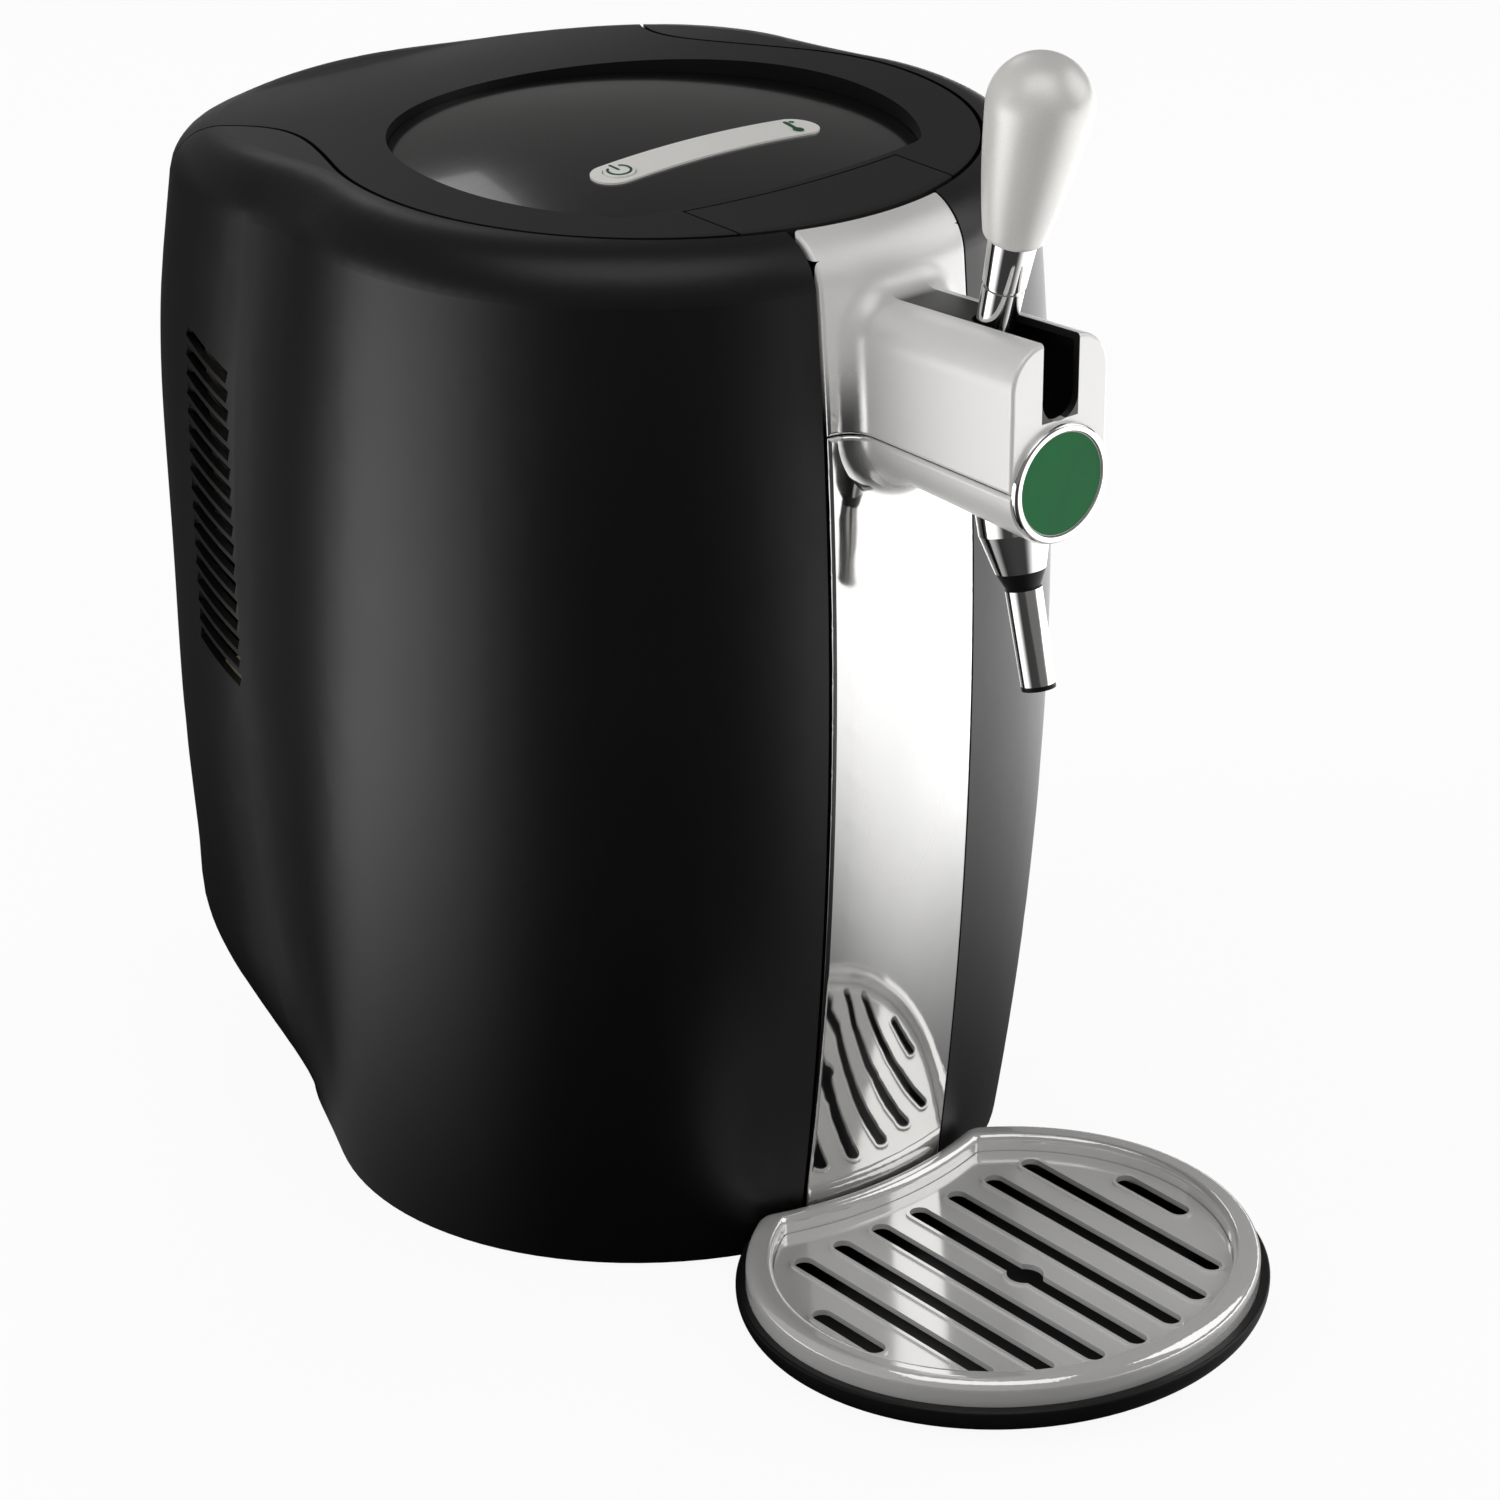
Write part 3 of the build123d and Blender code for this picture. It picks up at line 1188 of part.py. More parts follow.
def make_tap_head():
    """Upper half of the tap and of the column, which tilts up on a hinge."""
    bottom = SPLIT_Z + SPLIT_GAP
    piece = column_skin(bottom, BODY_TOP) + upper_arm(0, ARM_FRONT, bottom)
    piece = fillet(root_edges(piece), ARM_ROOT_FILLET) - lid_region(-SEAM, CAP_SEAM)
    piece = fillet(side_edges(piece), COLUMN_EDGE_ROUND)
    face = piece.faces().sort_by(Axis.Y)[0]
    rounded = face.edges().filter_by_position(Axis.Z, SPLIT_Z + 1, BODY_TOP)
    piece = fillet(rounded, ARM_FACE_ROUND)
    relief = HEAD_PIN_Z + HEAD_KNUCKLE_RADIUS + RUNNING
    back = COLUMN_BACK & layer(0, BODY_TOP)
    piece = piece - back - slab((-TOOL_REACH, HEAD_PIN_Y - HEAD_RELIEF + FIT, 0), (TOOL_REACH, 0, relief))
    piece -= upper_arm(ARM_WALL, ARM_FRONT + ARM_WALL, bottom - 1)
    half = HEAD_KNUCKLE_HALF
    knuckle = rod(HEAD_KNUCKLE_RADIUS, 2 * half, (0, HEAD_PIN_Y, HEAD_PIN_Z), "X")
    web = slab(
        (-half, HEAD_PIN_Y - HEAD_KNUCKLE_RADIUS, HEAD_PIN_Z),
        (half, HEAD_PIN_Y + HEAD_KNUCKLE_RADIUS, relief + 0.5),
    )
    piece = piece.fuse(knuckle, web)
    piece -= rod(HEAD_PIN_RADIUS + RUNNING, 3 * half, (0, HEAD_PIN_Y, HEAD_PIN_Z), "X")
    piece -= lever_slot()
    blind = 2 * (ARM_HALF_WIDTH - 1)
    return piece - rod(LEVER_PIN_RADIUS, blind, (0, LEVER_Y, LEVER_Z), "X")


def lever_slot():
    """Slot for the lever through the tap's top and down its face."""
    plan = slab(
        (-SLOT_HALF_WIDTH, 2 * ARM_FRONT, SLOT_BOTTOM), (SLOT_HALF_WIDTH, SLOT_BACK, BODY_TOP)
    )
    end = rod(SLOT_HALF_WIDTH, 60, (0, SLOT_BACK, SLOT_BOTTOM + 30), "Z")
    face = rod(SLOT_HALF_WIDTH, 4 * ARM_WALL, (0, ARM_FRONT, SLOT_BOTTOM), "Y")
    return plan + end + face


def make_head_pin():
    """Pin of the tap head's hinge."""
    return rod(HEAD_PIN_RADIUS, 2 * HEAD_LUG_END - 1, (0, HEAD_PIN_Y, HEAD_PIN_Z), "X")


def face_disc(radius, back, front):
    """A disc parallel to the tap's face between two distances before it."""
    return rod(radius, front - back, (0, ARM_FRONT - (back + front) / 2, BADGE_Z), "Y")


def make_badge():
    """Plain green badge disc, slightly domed."""
    disc = face_disc(BADGE_RADIUS, 0, BEZEL_PROUD - 0.6)
    return fillet(disc.faces().sort_by(Axis.Y)[0].edges(), 0.8)


def make_bezel():
    """Bright ring round the badge."""
    ring = face_disc(BEZEL_RADIUS, 0, BEZEL_PROUD)
    ring = fillet(ring.faces().sort_by(Axis.Y)[0].edges(), 1.2)
    return ring - face_disc(BADGE_RADIUS + RUNNING, -1, BEZEL_PROUD + 1)


# ------------------------------------------------------------------- tap lever
def along_lever(piece):
    """Move a piece, drawn up from the pivot, into the lever's rest position."""
    return Pos(0, LEVER_Y, LEVER_Z) * Rot(LEVER_LEAN, 0, 0) * piece


def spun(profile):
    """A closed outline in the XZ plane turned round the Z axis."""
    return revolve(Plane.XZ * make_face(profile), Axis.Z)


def make_lever_pin():
    """Pin in the tap head on which the lever turns."""
    return rod(LEVER_PIN_RADIUS, 2 * (ARM_HALF_WIDTH - 1), (0, LEVER_Y, LEVER_Z), "X")


def make_cam():
    """Boss of the lever with its cam lobe and the socket for the stem."""
    boss = rod(BOSS_RADIUS, 2 * BOSS_HALF_LENGTH, (0, LEVER_Y, LEVER_Z), "X")
    lobe = rod(LOBE_RADIUS, PLUNGER_WIDTH, (0, LEVER_Y, LEVER_Z - LOBE_REACH), "X")
    socket = Pos(0, 0, SOCKET_TOP / 2) * Cylinder(STEM_RADIUS_LOW, SOCKET_TOP)
    socket &= slab((-BOSS_HALF_LENGTH, -20, 0), (BOSS_HALF_LENGTH, 20, SOCKET_TOP))
    cam = boss.fuse(lobe, along_lever(socket))
    bore = rod(LEVER_PIN_RADIUS + RUNNING, 4 * BOSS_HALF_LENGTH, (0, LEVER_Y, LEVER_Z), "X")
    return cam - bore


def stem_radius(d):
    """Radius of the lever's stem at a distance from the pivot."""
    share = (d - SOCKET_TOP) / (STEM_TOP - SOCKET_TOP)
    return STEM_RADIUS_LOW + (STEM_RADIUS_HIGH - STEM_RADIUS_LOW) * share


def make_stem():
    """Chromed stem up to the ring."""
    low, high = stem_radius(SOCKET_TOP), stem_radius(STEM_RING)
    outline = Polyline(
        (0, SOCKET_TOP), (low, SOCKET_TOP), (high, STEM_RING), (0, STEM_RING), close=True
    )
    return along_lever(spun(outline))


def make_ferrule():
    """Chromed ferrule between the stem and the handle, with a ring groove."""
    low = stem_radius(STEM_RING) + FERRULE_STEP
    high = stem_radius(HANDLE_START) + FERRULE_FLARE
    neck = low - FERRULE_GROOVE_DEPTH
    outline = Polyline(
        (0, STEM_RING),
        (neck, STEM_RING),
        (neck, STEM_RING + FERRULE_GROOVE),
        (low, STEM_RING + FERRULE_GROOVE + FIT),
        (high, HANDLE_START),
        (0, HANDLE_START),
        close=True,
    )
    return along_lever(spun(outline))


def make_handle():
    """Pear handle: a flaring flank that runs into a round head."""
    centre = HANDLE_TOP - HANDLE_RADIUS
    join = radians(HANDLE_JOIN)
    meet = (HANDLE_RADIUS * cos(join), centre + HANDLE_RADIUS * sin(join))
    low = HANDLE_NECK - HANDLE_EDGE
    bottom = Line((0, HANDLE_START), (low, HANDLE_START))
    corner = JernArc((low, HANDLE_START), (1, 0), HANDLE_EDGE, HANDLE_EDGE_TURN)
    flank = Spline(corner @ 1, meet, tangents=(corner % 1, (-sin(join), cos(join))))
    middle = radians(45)
    ball = ThreePointArc(
        meet,
        (HANDLE_RADIUS * cos(middle), centre + HANDLE_RADIUS * sin(middle)),
        (0, HANDLE_TOP),
    )
    axis = Line((0, HANDLE_TOP), (0, HANDLE_START))
    return along_lever(spun(bottom + corner + flank + ball + axis))


def make_cradle():
    """Cradle in the tap for the keg's beer tube, with a groove along it."""
    cradle = lower_arm(ARM_WALL + FIT, ARM_FRONT + ARM_WALL + 2 * FIT, 0)
    cradle &= slab((-ARM_HALF_WIDTH, CRADLE_FRONT, 0), (ARM_HALF_WIDTH, CRADLE_BACK, CRADLE_TOP))
    half = TUBE_CHANNEL / 2
    cradle -= slab((-half, SPOUT_Y, CHANNEL_FLOOR), (half, 0, BODY_TOP))
    cradle -= spout_part(0, CONE_LENGTH, half, half, 30)
    return cradle - spout_part(0, CONE_LENGTH, SPIGOT_RADIUS + FIT, SPIGOT_RADIUS + FIT, 8)


def make_plunger():
    """Plunger that pinches the beer tube shut under the lever's cam."""
    top = LEVER_Z - LOBE_REACH - LOBE_RADIUS - PLUNGER_GAP
    half = PLUNGER_WIDTH / 2
    blade = slab(
        (-half, LEVER_Y - PLUNGER_DEPTH / 2, PLUNGER_BOTTOM),
        (half, LEVER_Y + PLUNGER_DEPTH / 2, top),
    )
    blade = fillet(blade.edges().filter_by(Axis.X).sort_by(Axis.Z)[:2], 2)
    wings = slab(
        (-3 * half, LEVER_Y - PLUNGER_DEPTH / 3, CRADLE_TOP + FIT),
        (3 * half, LEVER_Y + PLUNGER_DEPTH / 3, top),
    )
    return blade + wings


# ----------------------------------------------------------------------- spout
def spout_part(start, end, start_radius, end_radius, reach=0.0):
    """A length of the spout: a cone, with a straight part above it if asked for."""
    corners = [(0, -start), (start_radius, -start), (end_radius, -end), (0, -end), (0, -start)]
    if reach:
        corners[:1] = [(0, reach - start), (start_radius, reach - start)]
        corners[-1] = (0, reach - start)
    outline = Polyline(*corners)
    return Pos(0, SPOUT_Y, SPOUT_Z) * Rot(-SPOUT_LEAN, 0, 0) * spun(outline)


def spout_bore():
    """Passage for the beer tube along the whole spout."""
    return spout_part(0, CONE_LENGTH + 100, SPOUT_BORE, SPOUT_BORE, 20)


def make_spout_cone():
    """Chromed cone under the tap, with a spigot through the tap's belly."""
    cone = spout_part(0, CONE_LENGTH, CONE_TOP_RADIUS, CONE_END_RADIUS, 10)
    cone -= lower_arm(0, ARM_FRONT, 0)
    spigot = spout_part(0, CONE_LENGTH / 2, SPIGOT_RADIUS, SPIGOT_RADIUS, 7)
    return cone + spigot - spout_bore()


def make_spout_collar():
    """Black collar between the cone and the tube."""
    end = CONE_LENGTH + COLLAR_LENGTH
    return spout_part(CONE_LENGTH, end, CONE_END_RADIUS, COLLAR_END_RADIUS) - spout_bore()


def make_spout_tube():
    """Chromed outlet tube."""
    start = CONE_LENGTH + COLLAR_LENGTH
    return spout_part(start, start + TUBE_LENGTH, TUBE_RADIUS, TUBE_END_RADIUS) - spout_bore()


def make_spout_tip():
    """Dark rim at the outlet's end."""
    start = CONE_LENGTH + COLLAR_LENGTH + TUBE_LENGTH
    return spout_part(start, start + TIP_LENGTH, TUBE_END_RADIUS, TUBE_END_RADIUS) - spout_bore()


# ------------------------------------------------------------------- drip tray
def notch_plan(gap):
    """Plan of the tray's rear notch, which follows the foot of the barrel."""
    half_width, half_depth = barrel(RIM_TOP)
    return Ellipse(half_width + gap, half_depth + gap)


def tray_block(half_width, half_depth, gap, corner, bottom, top):
    """The tray's plan between two heights: an ellipse with a notch and round ears."""
    plan = Pos(0, TRAY_CENTRE) * Ellipse(half_width, half_depth) - notch_plan(gap)
    solid = extrude(plan, amount=top - bottom)
    solid = fillet(solid.edges().filter_by(Axis.Z), corner)
    return Pos(0, 0, bottom) * solid


def make_tray():
    """Moulded bowl of the drip tray with the tongue that locates it."""
    top = GRID_TOP - GRID_THICKNESS - LEDGE_THICKNESS
    bowl = tray_block(
        BOWL_HALF_WIDTH, BOWL_HALF_DEPTH, NOTCH_GAP, EAR_RADIUS, TRAY_BOTTOM, top
    )
    bowl = fillet(bowl.faces().sort_by(Axis.Z)[0].edges(), BOWL_ROUND)
    bowl = fillet(bowl.faces().sort_by(Axis.Z)[-1].edges(), BOWL_EDGE_ROUND)
    inner = tray_block(
        BOWL_HALF_WIDTH - BOWL_SIDE,
        BOWL_HALF_DEPTH - BOWL_SIDE,
        NOTCH_GAP + BOWL_NOTCH_SIDE,
        EAR_RADIUS,
        TRAY_BOTTOM + BOWL_WALL,
        RIM_TOP,
    )
    bowl -= fillet(inner.faces().sort_by(Axis.Z)[0].edges(), BOWL_WALL)
    tongue = slab(
        (-TONGUE_HALF_WIDTH, -barrel(0)[1] - NOTCH_GAP - BOWL_WALL, TONGUE_BOTTOM),
        (TONGUE_HALF_WIDTH, TONGUE_END, TONGUE_BOTTOM + TONGUE_HEIGHT),
    )
    return bowl + tongue


def make_rim():
    """Rolled chromed rim of the tray, with a ledge for the grid."""
    bottom = GRID_TOP - GRID_THICKNESS
    ring = tray_block(
        RIM_HALF_WIDTH, RIM_HALF_DEPTH, NOTCH_GAP, EAR_RADIUS, bottom - LEDGE_THICKNESS, RIM_TOP
    )
    inner = tray_block(
        RIM_HALF_WIDTH - RIM_WIDTH,
        RIM_HALF_DEPTH - RIM_WIDTH,
        NOTCH_GAP + RIM_NOTCH_WIDTH,
        EAR_RADIUS / 2,
        bottom,
        RIM_TOP + 1,
    )
    through = tray_block(
        RIM_HALF_WIDTH - RIM_WIDTH - LEDGE_WIDTH,
        RIM_HALF_DEPTH - RIM_WIDTH - LEDGE_WIDTH,
        NOTCH_GAP + RIM_NOTCH_WIDTH + LEDGE_WIDTH,
        EAR_RADIUS / 2,
        0,
        RIM_TOP + 1,
    )
    ring -= inner
    top = ring.faces().filter_by(Plane.XY).sort_by(Axis.Z)[-1]
    ring = fillet(top.outer_wire().edges(), RIM_ROUND)
    top = ring.faces().filter_by(Plane.XY).sort_by(Axis.Z)[-1]
    ring = fillet(top.inner_wires()[0].edges(), RIM_INNER_ROUND)
    return ring - through


def grid_slots(grow, bottom, top):
    """The grid's slots as upright cutters, widened by a distance."""
    width = GRID_SLOT_WIDTH / 2 + grow
    grid_half = RIM_HALF_WIDTH - RIM_WIDTH - FIT
    grid_depth = RIM_HALF_DEPTH - RIM_WIDTH - FIT
    cutters = []
    for i in range(-GRID_LONG_SLOTS, GRID_LONG_SLOTS + 1):
        x = i * GRID_SLOT_PITCH
        reach = grid_depth * sqrt(1 - (x / grid_half) ** 2)
        cutters.append((x, TRAY_CENTRE - reach + GRID_SLOT_MARGIN, GRID_SLOT_BACK))
    for side in (-1, 1):
        x = side * (GRID_LONG_SLOTS + 1) * GRID_SLOT_PITCH
        cutters.append((x, GRID_SHORT_FRONT, GRID_SHORT_BACK))
    slots = []
    for x, front, back in cutters:
        straight = slab((x - width, front + width - grow, bottom), (x + width, back - width + grow, top))
        ends = [
            rod(width, top - bottom, (x, y, (bottom + top) / 2), "Z")
            for y in (front + width - grow, back - width + grow)
        ]
        slots.append(straight.fuse(*ends))
    hole = GRID_HOLE_RADIUS + grow
    slots.append(rod(hole, top - bottom, (0, GRID_HOLE_Y, (bottom + top) / 2), "Z"))
    return slots


def make_grid():
    """Chromed grid with raised lips round its slots and a round hole."""
    bottom = GRID_TOP - GRID_THICKNESS
    plate = tray_block(
        RIM_HALF_WIDTH - RIM_WIDTH - FIT,
        RIM_HALF_DEPTH - RIM_WIDTH - FIT,
        NOTCH_GAP + RIM_NOTCH_WIDTH + FIT,
        EAR_RADIUS / 2,
        bottom,
        GRID_TOP,
    )
    lips = grid_slots(GRID_LIP, bottom, GRID_TOP + GRID_LIP_HEIGHT)
    return plate.fuse(*lips) - grid_slots(0, 0, RIM_TOP)


# --------------------------------------------------------------------- export
NODES = {
    "outer_housing": make_housing,
    "base_plate": make_base,
    "foot_pads": make_pads,
    "rear_panel": make_rear_panel,
    "panel_screws": make_panel_screws,
    "keg_liner": make_keg_liner,
    "cooling_cup": make_cooling_cup,
    "insulation_jacket": make_insulation,
    "top_deck": make_top_deck,
    "lid_gasket": make_gasket,
    "bulkhead": make_bulkhead,
    "cold_block": make_cold_block,
    "peltier_module": make_peltier,
    "heat_sink": make_heat_sink,
    "fan_frame": make_fan_frame,
    "fan_rotor": make_fan_rotor,
    "control_board": lambda: make_board(CONTROL_BOARD, CONTROL_PARTS),
    "power_supply": lambda: make_board(SUPPLY_BOARD, SUPPLY_PARTS),
    "temperature_probe": make_probe,
    "power_inlet": make_inlet,
    "inlet_pins": make_inlet_pins,
    "lid_shell": make_lid_shell,
    "lid_hinge_pin": make_lid_pin,
    "lid_liner": make_lid_liner,
    "lid_dome": make_dome,
    "control_strip": make_strip,
    "power_key": make_power_key,
    "lid_release": make_release,
    "release_pins": make_release_pins,
    "release_springs": make_release_spring,
    "latch_keeper": make_keeper,
    "tap_column": make_tap_column,
    "tap_head": make_tap_head,
    "head_hinge_pin": make_head_pin,
    "badge_disc": make_badge,
    "badge_bezel": make_bezel,
    "lever_pin": make_lever_pin,
    "lever_cam": make_cam,
    "lever_stem": make_stem,
    "lever_ferrule": make_ferrule,
    "lever_handle": make_handle,
    "tube_cradle": make_cradle,
    "pinch_plunger": make_plunger,
    "spout_cone": make_spout_cone,
    "spout_collar": make_spout_collar,
    "spout_tube": make_spout_tube,
    "spout_tip": make_spout_tip,
    "drip_tray": make_tray,
    "tray_rim": make_rim,
    "drip_grid": make_grid,
}


def centring_shift():
    """Distance along Y that brings the whole object over the origin."""
    front = TRAY_CENTRE - BOWL_HALF_DEPTH
    back = OUTER.bounding_box().max.Y
    return -(front + back) / 2


def export_all():
    """Write one STEP file for every node, moved over the origin."""
    os.makedirs("parts", exist_ok=True)
    move = Pos(0, centring_shift(), 0)
    for name, make in NODES.items():
        made = make()
        pieces = list(made) if isinstance(made, (list, tuple)) else [made]
        solids = [move * solid for piece in pieces for solid in piece.solids()]
        shape = solids[0] if len(solids) == 1 else Compound(children=solids)
        shape.label = name
        export_step(shape, f"parts/{name}.step")


export_all()
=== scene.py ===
import logging
from collections.abc import Mapping
from dataclasses import dataclass
from enum import Enum

import bpy
import numpy as np
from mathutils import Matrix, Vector


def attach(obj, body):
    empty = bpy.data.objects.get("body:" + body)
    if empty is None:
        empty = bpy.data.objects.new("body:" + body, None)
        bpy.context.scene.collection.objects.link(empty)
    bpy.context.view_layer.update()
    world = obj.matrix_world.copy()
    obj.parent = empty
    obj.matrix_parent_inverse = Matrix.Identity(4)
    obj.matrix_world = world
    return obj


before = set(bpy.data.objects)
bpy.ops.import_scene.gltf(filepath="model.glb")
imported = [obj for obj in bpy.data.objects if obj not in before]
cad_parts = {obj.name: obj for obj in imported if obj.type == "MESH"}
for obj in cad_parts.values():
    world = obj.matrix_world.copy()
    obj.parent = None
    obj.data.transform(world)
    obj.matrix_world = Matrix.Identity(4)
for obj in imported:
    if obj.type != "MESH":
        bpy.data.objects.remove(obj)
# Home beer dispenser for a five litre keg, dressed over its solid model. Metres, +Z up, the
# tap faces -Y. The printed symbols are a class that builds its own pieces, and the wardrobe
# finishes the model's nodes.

LOG = logging.getLogger("dispenser")
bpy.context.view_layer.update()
MM = 0.001
SHIFT = 32.17937             # the barrel's axis stands this far behind the origin, in millimetres

Colour = tuple[float, float, float]
Point = tuple[float, float, float]
Pair = tuple[float, float]
Values = dict[str, object]

SMOOTH, SOFT, FINE, RICH = 1.0, 2.0, 3.0, 4.0     # layers of finer noise
WHITE = (1.0, 1.0, 1.0)


# ------------------------------------------------------------------ shader maths
class Term:
    """A number that a node's socket carries, with the arithmetic of shader maths."""

    def __init__(self, graph: "Graph", socket: bpy.types.NodeSocket) -> None:
        """Keeps the graph that the socket is in."""
        self.graph = graph
        self.socket = socket

    def _join(self, operation: str, *terms: "Term | float") -> "Term":
        """Returns one Math node's result for the given terms, in their order."""
        values = {place: term for place, term in enumerate(terms)}
        return self.graph.term("ShaderNodeMath", {"operation": operation}, values)

    def __add__(self, other: "Term | float") -> "Term":
        """Sum."""
        return self._join("ADD", self, other)

    def __radd__(self, other: float) -> "Term":
        """Sum with a plain number on the left."""
        return self._join("ADD", other, self)

    def __sub__(self, other: "Term | float") -> "Term":
        """Difference."""
        return self._join("SUBTRACT", self, other)

    def __rsub__(self, other: float) -> "Term":
        """Difference from a plain number."""
        return self._join("SUBTRACT", other, self)

    def __mul__(self, other: "Term | float") -> "Term":
        """Product."""
        return self._join("MULTIPLY", self, other)

    def __rmul__(self, other: float) -> "Term":
        """Product with a plain number on the left."""
        return self._join("MULTIPLY", other, self)

    def __truediv__(self, other: "Term | float") -> "Term":
        """Quotient."""
        return self._join("DIVIDE", self, other)

    def __abs__(self) -> "Term":
        """Size without its sign."""
        return self._join("ABSOLUTE", self)

    def above(self, edge: float, softness: float) -> "Term":
        """Mask that rises from 0 to 1 over the softness, centred on the edge.

        Args:
            edge: value at which the mask is a half.
            softness: width of the rise.

        Returns:
            The mask.
        """
        values = {"Value": self, "From Min": edge - softness / 2, "From Max": edge + softness / 2}
        return self.graph.term("ShaderNodeMapRange", {"interpolation_type": "SMOOTHSTEP"}, values)

    def root(self) -> "Term":
        """Square root."""
        return self._join("SQRT", self)

    def kept(self) -> "Term":
        """The number where it is positive, and 0 elsewhere."""
        return self._join("MAXIMUM", self, 0.0)


class Graph:
    """The nodes of one material or world."""

    MIX_SHARE, MIX_LOW, MIX_HIGH = 0, 6, 7        # places of a Mix node's sockets for colours
    MIX_COLOUR = 2
    SHADER_SHARE, SHADER_OFF, SHADER_ON = 0, 1, 2  # and of a Mix Shader's

    def __init__(self, tree: bpy.types.NodeTree) -> None:
        """Empties the tree that is to be filled."""
        self.tree = tree
        self.tree.nodes.clear()

    def node(self, kind: str, settings: Mapping[str, object] | None = None,
             values: Mapping[str | int, object] | None = None) -> bpy.types.Node:
        """Adds a node.

        Args:
            kind: the node's type.
            settings: its own settings, set first.
            values: numbers, colours, terms or sockets for its inputs, by name or place.

        Returns:
            The node.
        """
        made = self.tree.nodes.new(kind)
        for name, value in (settings or {}).items():
            setattr(made, name, value)
        for key, value in (values or {}).items():
            target = made.inputs[key]
            if isinstance(value, Term):
                value = value.socket
            if isinstance(value, bpy.types.NodeSocket):
                self.tree.links.new(value, target)
            elif target.type == "RGBA":
                target.default_value = (*value, 1.0)
            else:
                target.default_value = value
        return made

    def term(self, kind: str, settings: Mapping[str, object] | None = None,
             values: Mapping[str | int, object] | None = None) -> Term:
        """Adds a node and returns its first output as a term."""
        return Term(self, self.node(kind, settings, values).outputs[0])

    def place(self) -> bpy.types.NodeSocket:
        """Returns the object's own coordinates, in metres."""
        return self.node("ShaderNodeTexCoord").outputs["Object"]

    def axes(self) -> tuple[Term, Term, Term]:
        """Returns the object's own coordinates as three terms."""
        split = self.node("ShaderNodeSeparateXYZ", None, {"Vector": self.place()})
        return tuple(Term(self, split.outputs[name]) for name in ("X", "Y", "Z"))

    def noise(self, size: float, detail: float, stretch: Point = (1.0, 1.0, 1.0)) -> Term:
        """Returns soft noise between 0 and 1.

        Args:
            size: width of one grain, in metres.
            detail: layers of finer noise.
            stretch: grain lengths along the axes, over their width.

        Returns:
            The noise.
        """
        scale = tuple(1.0 / (size * length) for length in stretch)
        placed = self.node("ShaderNodeMapping", None, {"Vector": self.place(), "Scale": scale})
        values = {"Vector": placed.outputs["Vector"], "Scale": 1.0, "Detail": detail}
        return self.term("ShaderNodeTexNoise", None, values)

    def specks(self, size: float) -> Term:
        """Returns the distance to the nearest of scattered points, in their own spacing."""
        values = {"Vector": self.place(), "Scale": 1.0 / size}
        return self.term("ShaderNodeTexVoronoi", None, values)

    def blend(self, low: object, high: object, share: Term) -> bpy.types.NodeSocket:
        """Mixes two colours.

        Args:
            low: colour where the share is 0.
            high: colour where it is 1.
            share: the mask.

        Returns:
            The colour's socket.
        """
        values = {self.MIX_SHARE: share, self.MIX_LOW: low, self.MIX_HIGH: high}
        return self.node("ShaderNodeMix", {"data_type": "RGBA"}, values).outputs[self.MIX_COLOUR]

    def either(self, off: bpy.types.NodeSocket, on: bpy.types.NodeSocket,
               share: Term) -> bpy.types.NodeSocket:
        """Mixes two shaders.

        Args:
            off: shader where the share is 0.
            on: shader where it is 1.
            share: the mask.

        Returns:
            The shader's socket.
        """
        values = {self.SHADER_SHARE: share, self.SHADER_OFF: off, self.SHADER_ON: on}
        return self.node("ShaderNodeMixShader", None, values).outputs[0]

    def rays(self, kind: str) -> Term:
        """Returns 1 for the light rays of one kind and 0 for the others."""
        return Term(self, self.node("ShaderNodeLightPath").outputs[kind])

    def bump(self, height: Term, depth: float, strength: float = 1.0) -> bpy.types.NodeSocket:
        """Returns a normal bent by a height.

        Args:
            height: height between 0 and 1.
            depth: what a height of 1 stands for, in metres.
            strength: share of the bend that shows.

        Returns:
            The normal's socket.
        """
        values = {"Height": height, "Distance": depth, "Strength": strength}
        return self.node("ShaderNodeBump", None, values).outputs["Normal"]


def shaded(colour: Colour, share: float) -> Colour:
    """Returns a colour made darker (share under 1) or lighter."""
    return tuple(min(1.0, part * share) for part in colour)


# ---------------------------------------------------------------------- finishes
def about(mean: float, *parts: tuple[Term, float]) -> Term:
    """Returns a value that wanders about its mean.

    Each part adds a number between 0 and 1 times its reach, and half of every reach is taken
    from the mean.

    Args:
        mean: the value where each part is a half.
        parts: terms with their reaches.

    Returns:
        The value.
    """
    total = mean - sum(reach for _, reach in parts) / 2
    for term, reach in parts:
        total = term * reach + total
    return total


def smears(graph: Graph) -> Term:
    """Returns the soft upright patches that wiping leaves on plating."""
    return graph.noise(0.018, RICH, (1.0, 1.0, 2.2))


@dataclass(frozen=True)
class Finish:
    """A finish that can build its material."""

    colour: Colour

    def sockets(self, graph: Graph) -> Values:
        """Adds the nodes of the finish and returns the values of its shader's sockets."""
        raise NotImplementedError

    def tones(self, graph: Graph, low: float, high: float, share: Term) -> bpy.types.NodeSocket:
        """Mixes two shades of the colour.

        Args:
            graph: the material's nodes.
            low: brightness where the share is 0, as a part of the colour's own.
            high: brightness where it is 1.
            share: the mask.

        Returns:
            The colour's socket.
        """
        return graph.blend(shaded(self.colour, low), shaded(self.colour, high), share)

    def material(self, name: str) -> bpy.types.Material:
        """Builds the material.

        Args:
            name: the material's name.

        Returns:
            The material.
        """
        made = bpy.data.materials.new(name)
        made.use_nodes = True
        graph = Graph(made.node_tree)
        shader = graph.node("ShaderNodeBsdfPrincipled", None, self.sockets(graph))
        graph.node("ShaderNodeOutputMaterial", None, {"Surface": shader.outputs[0]})
        return made


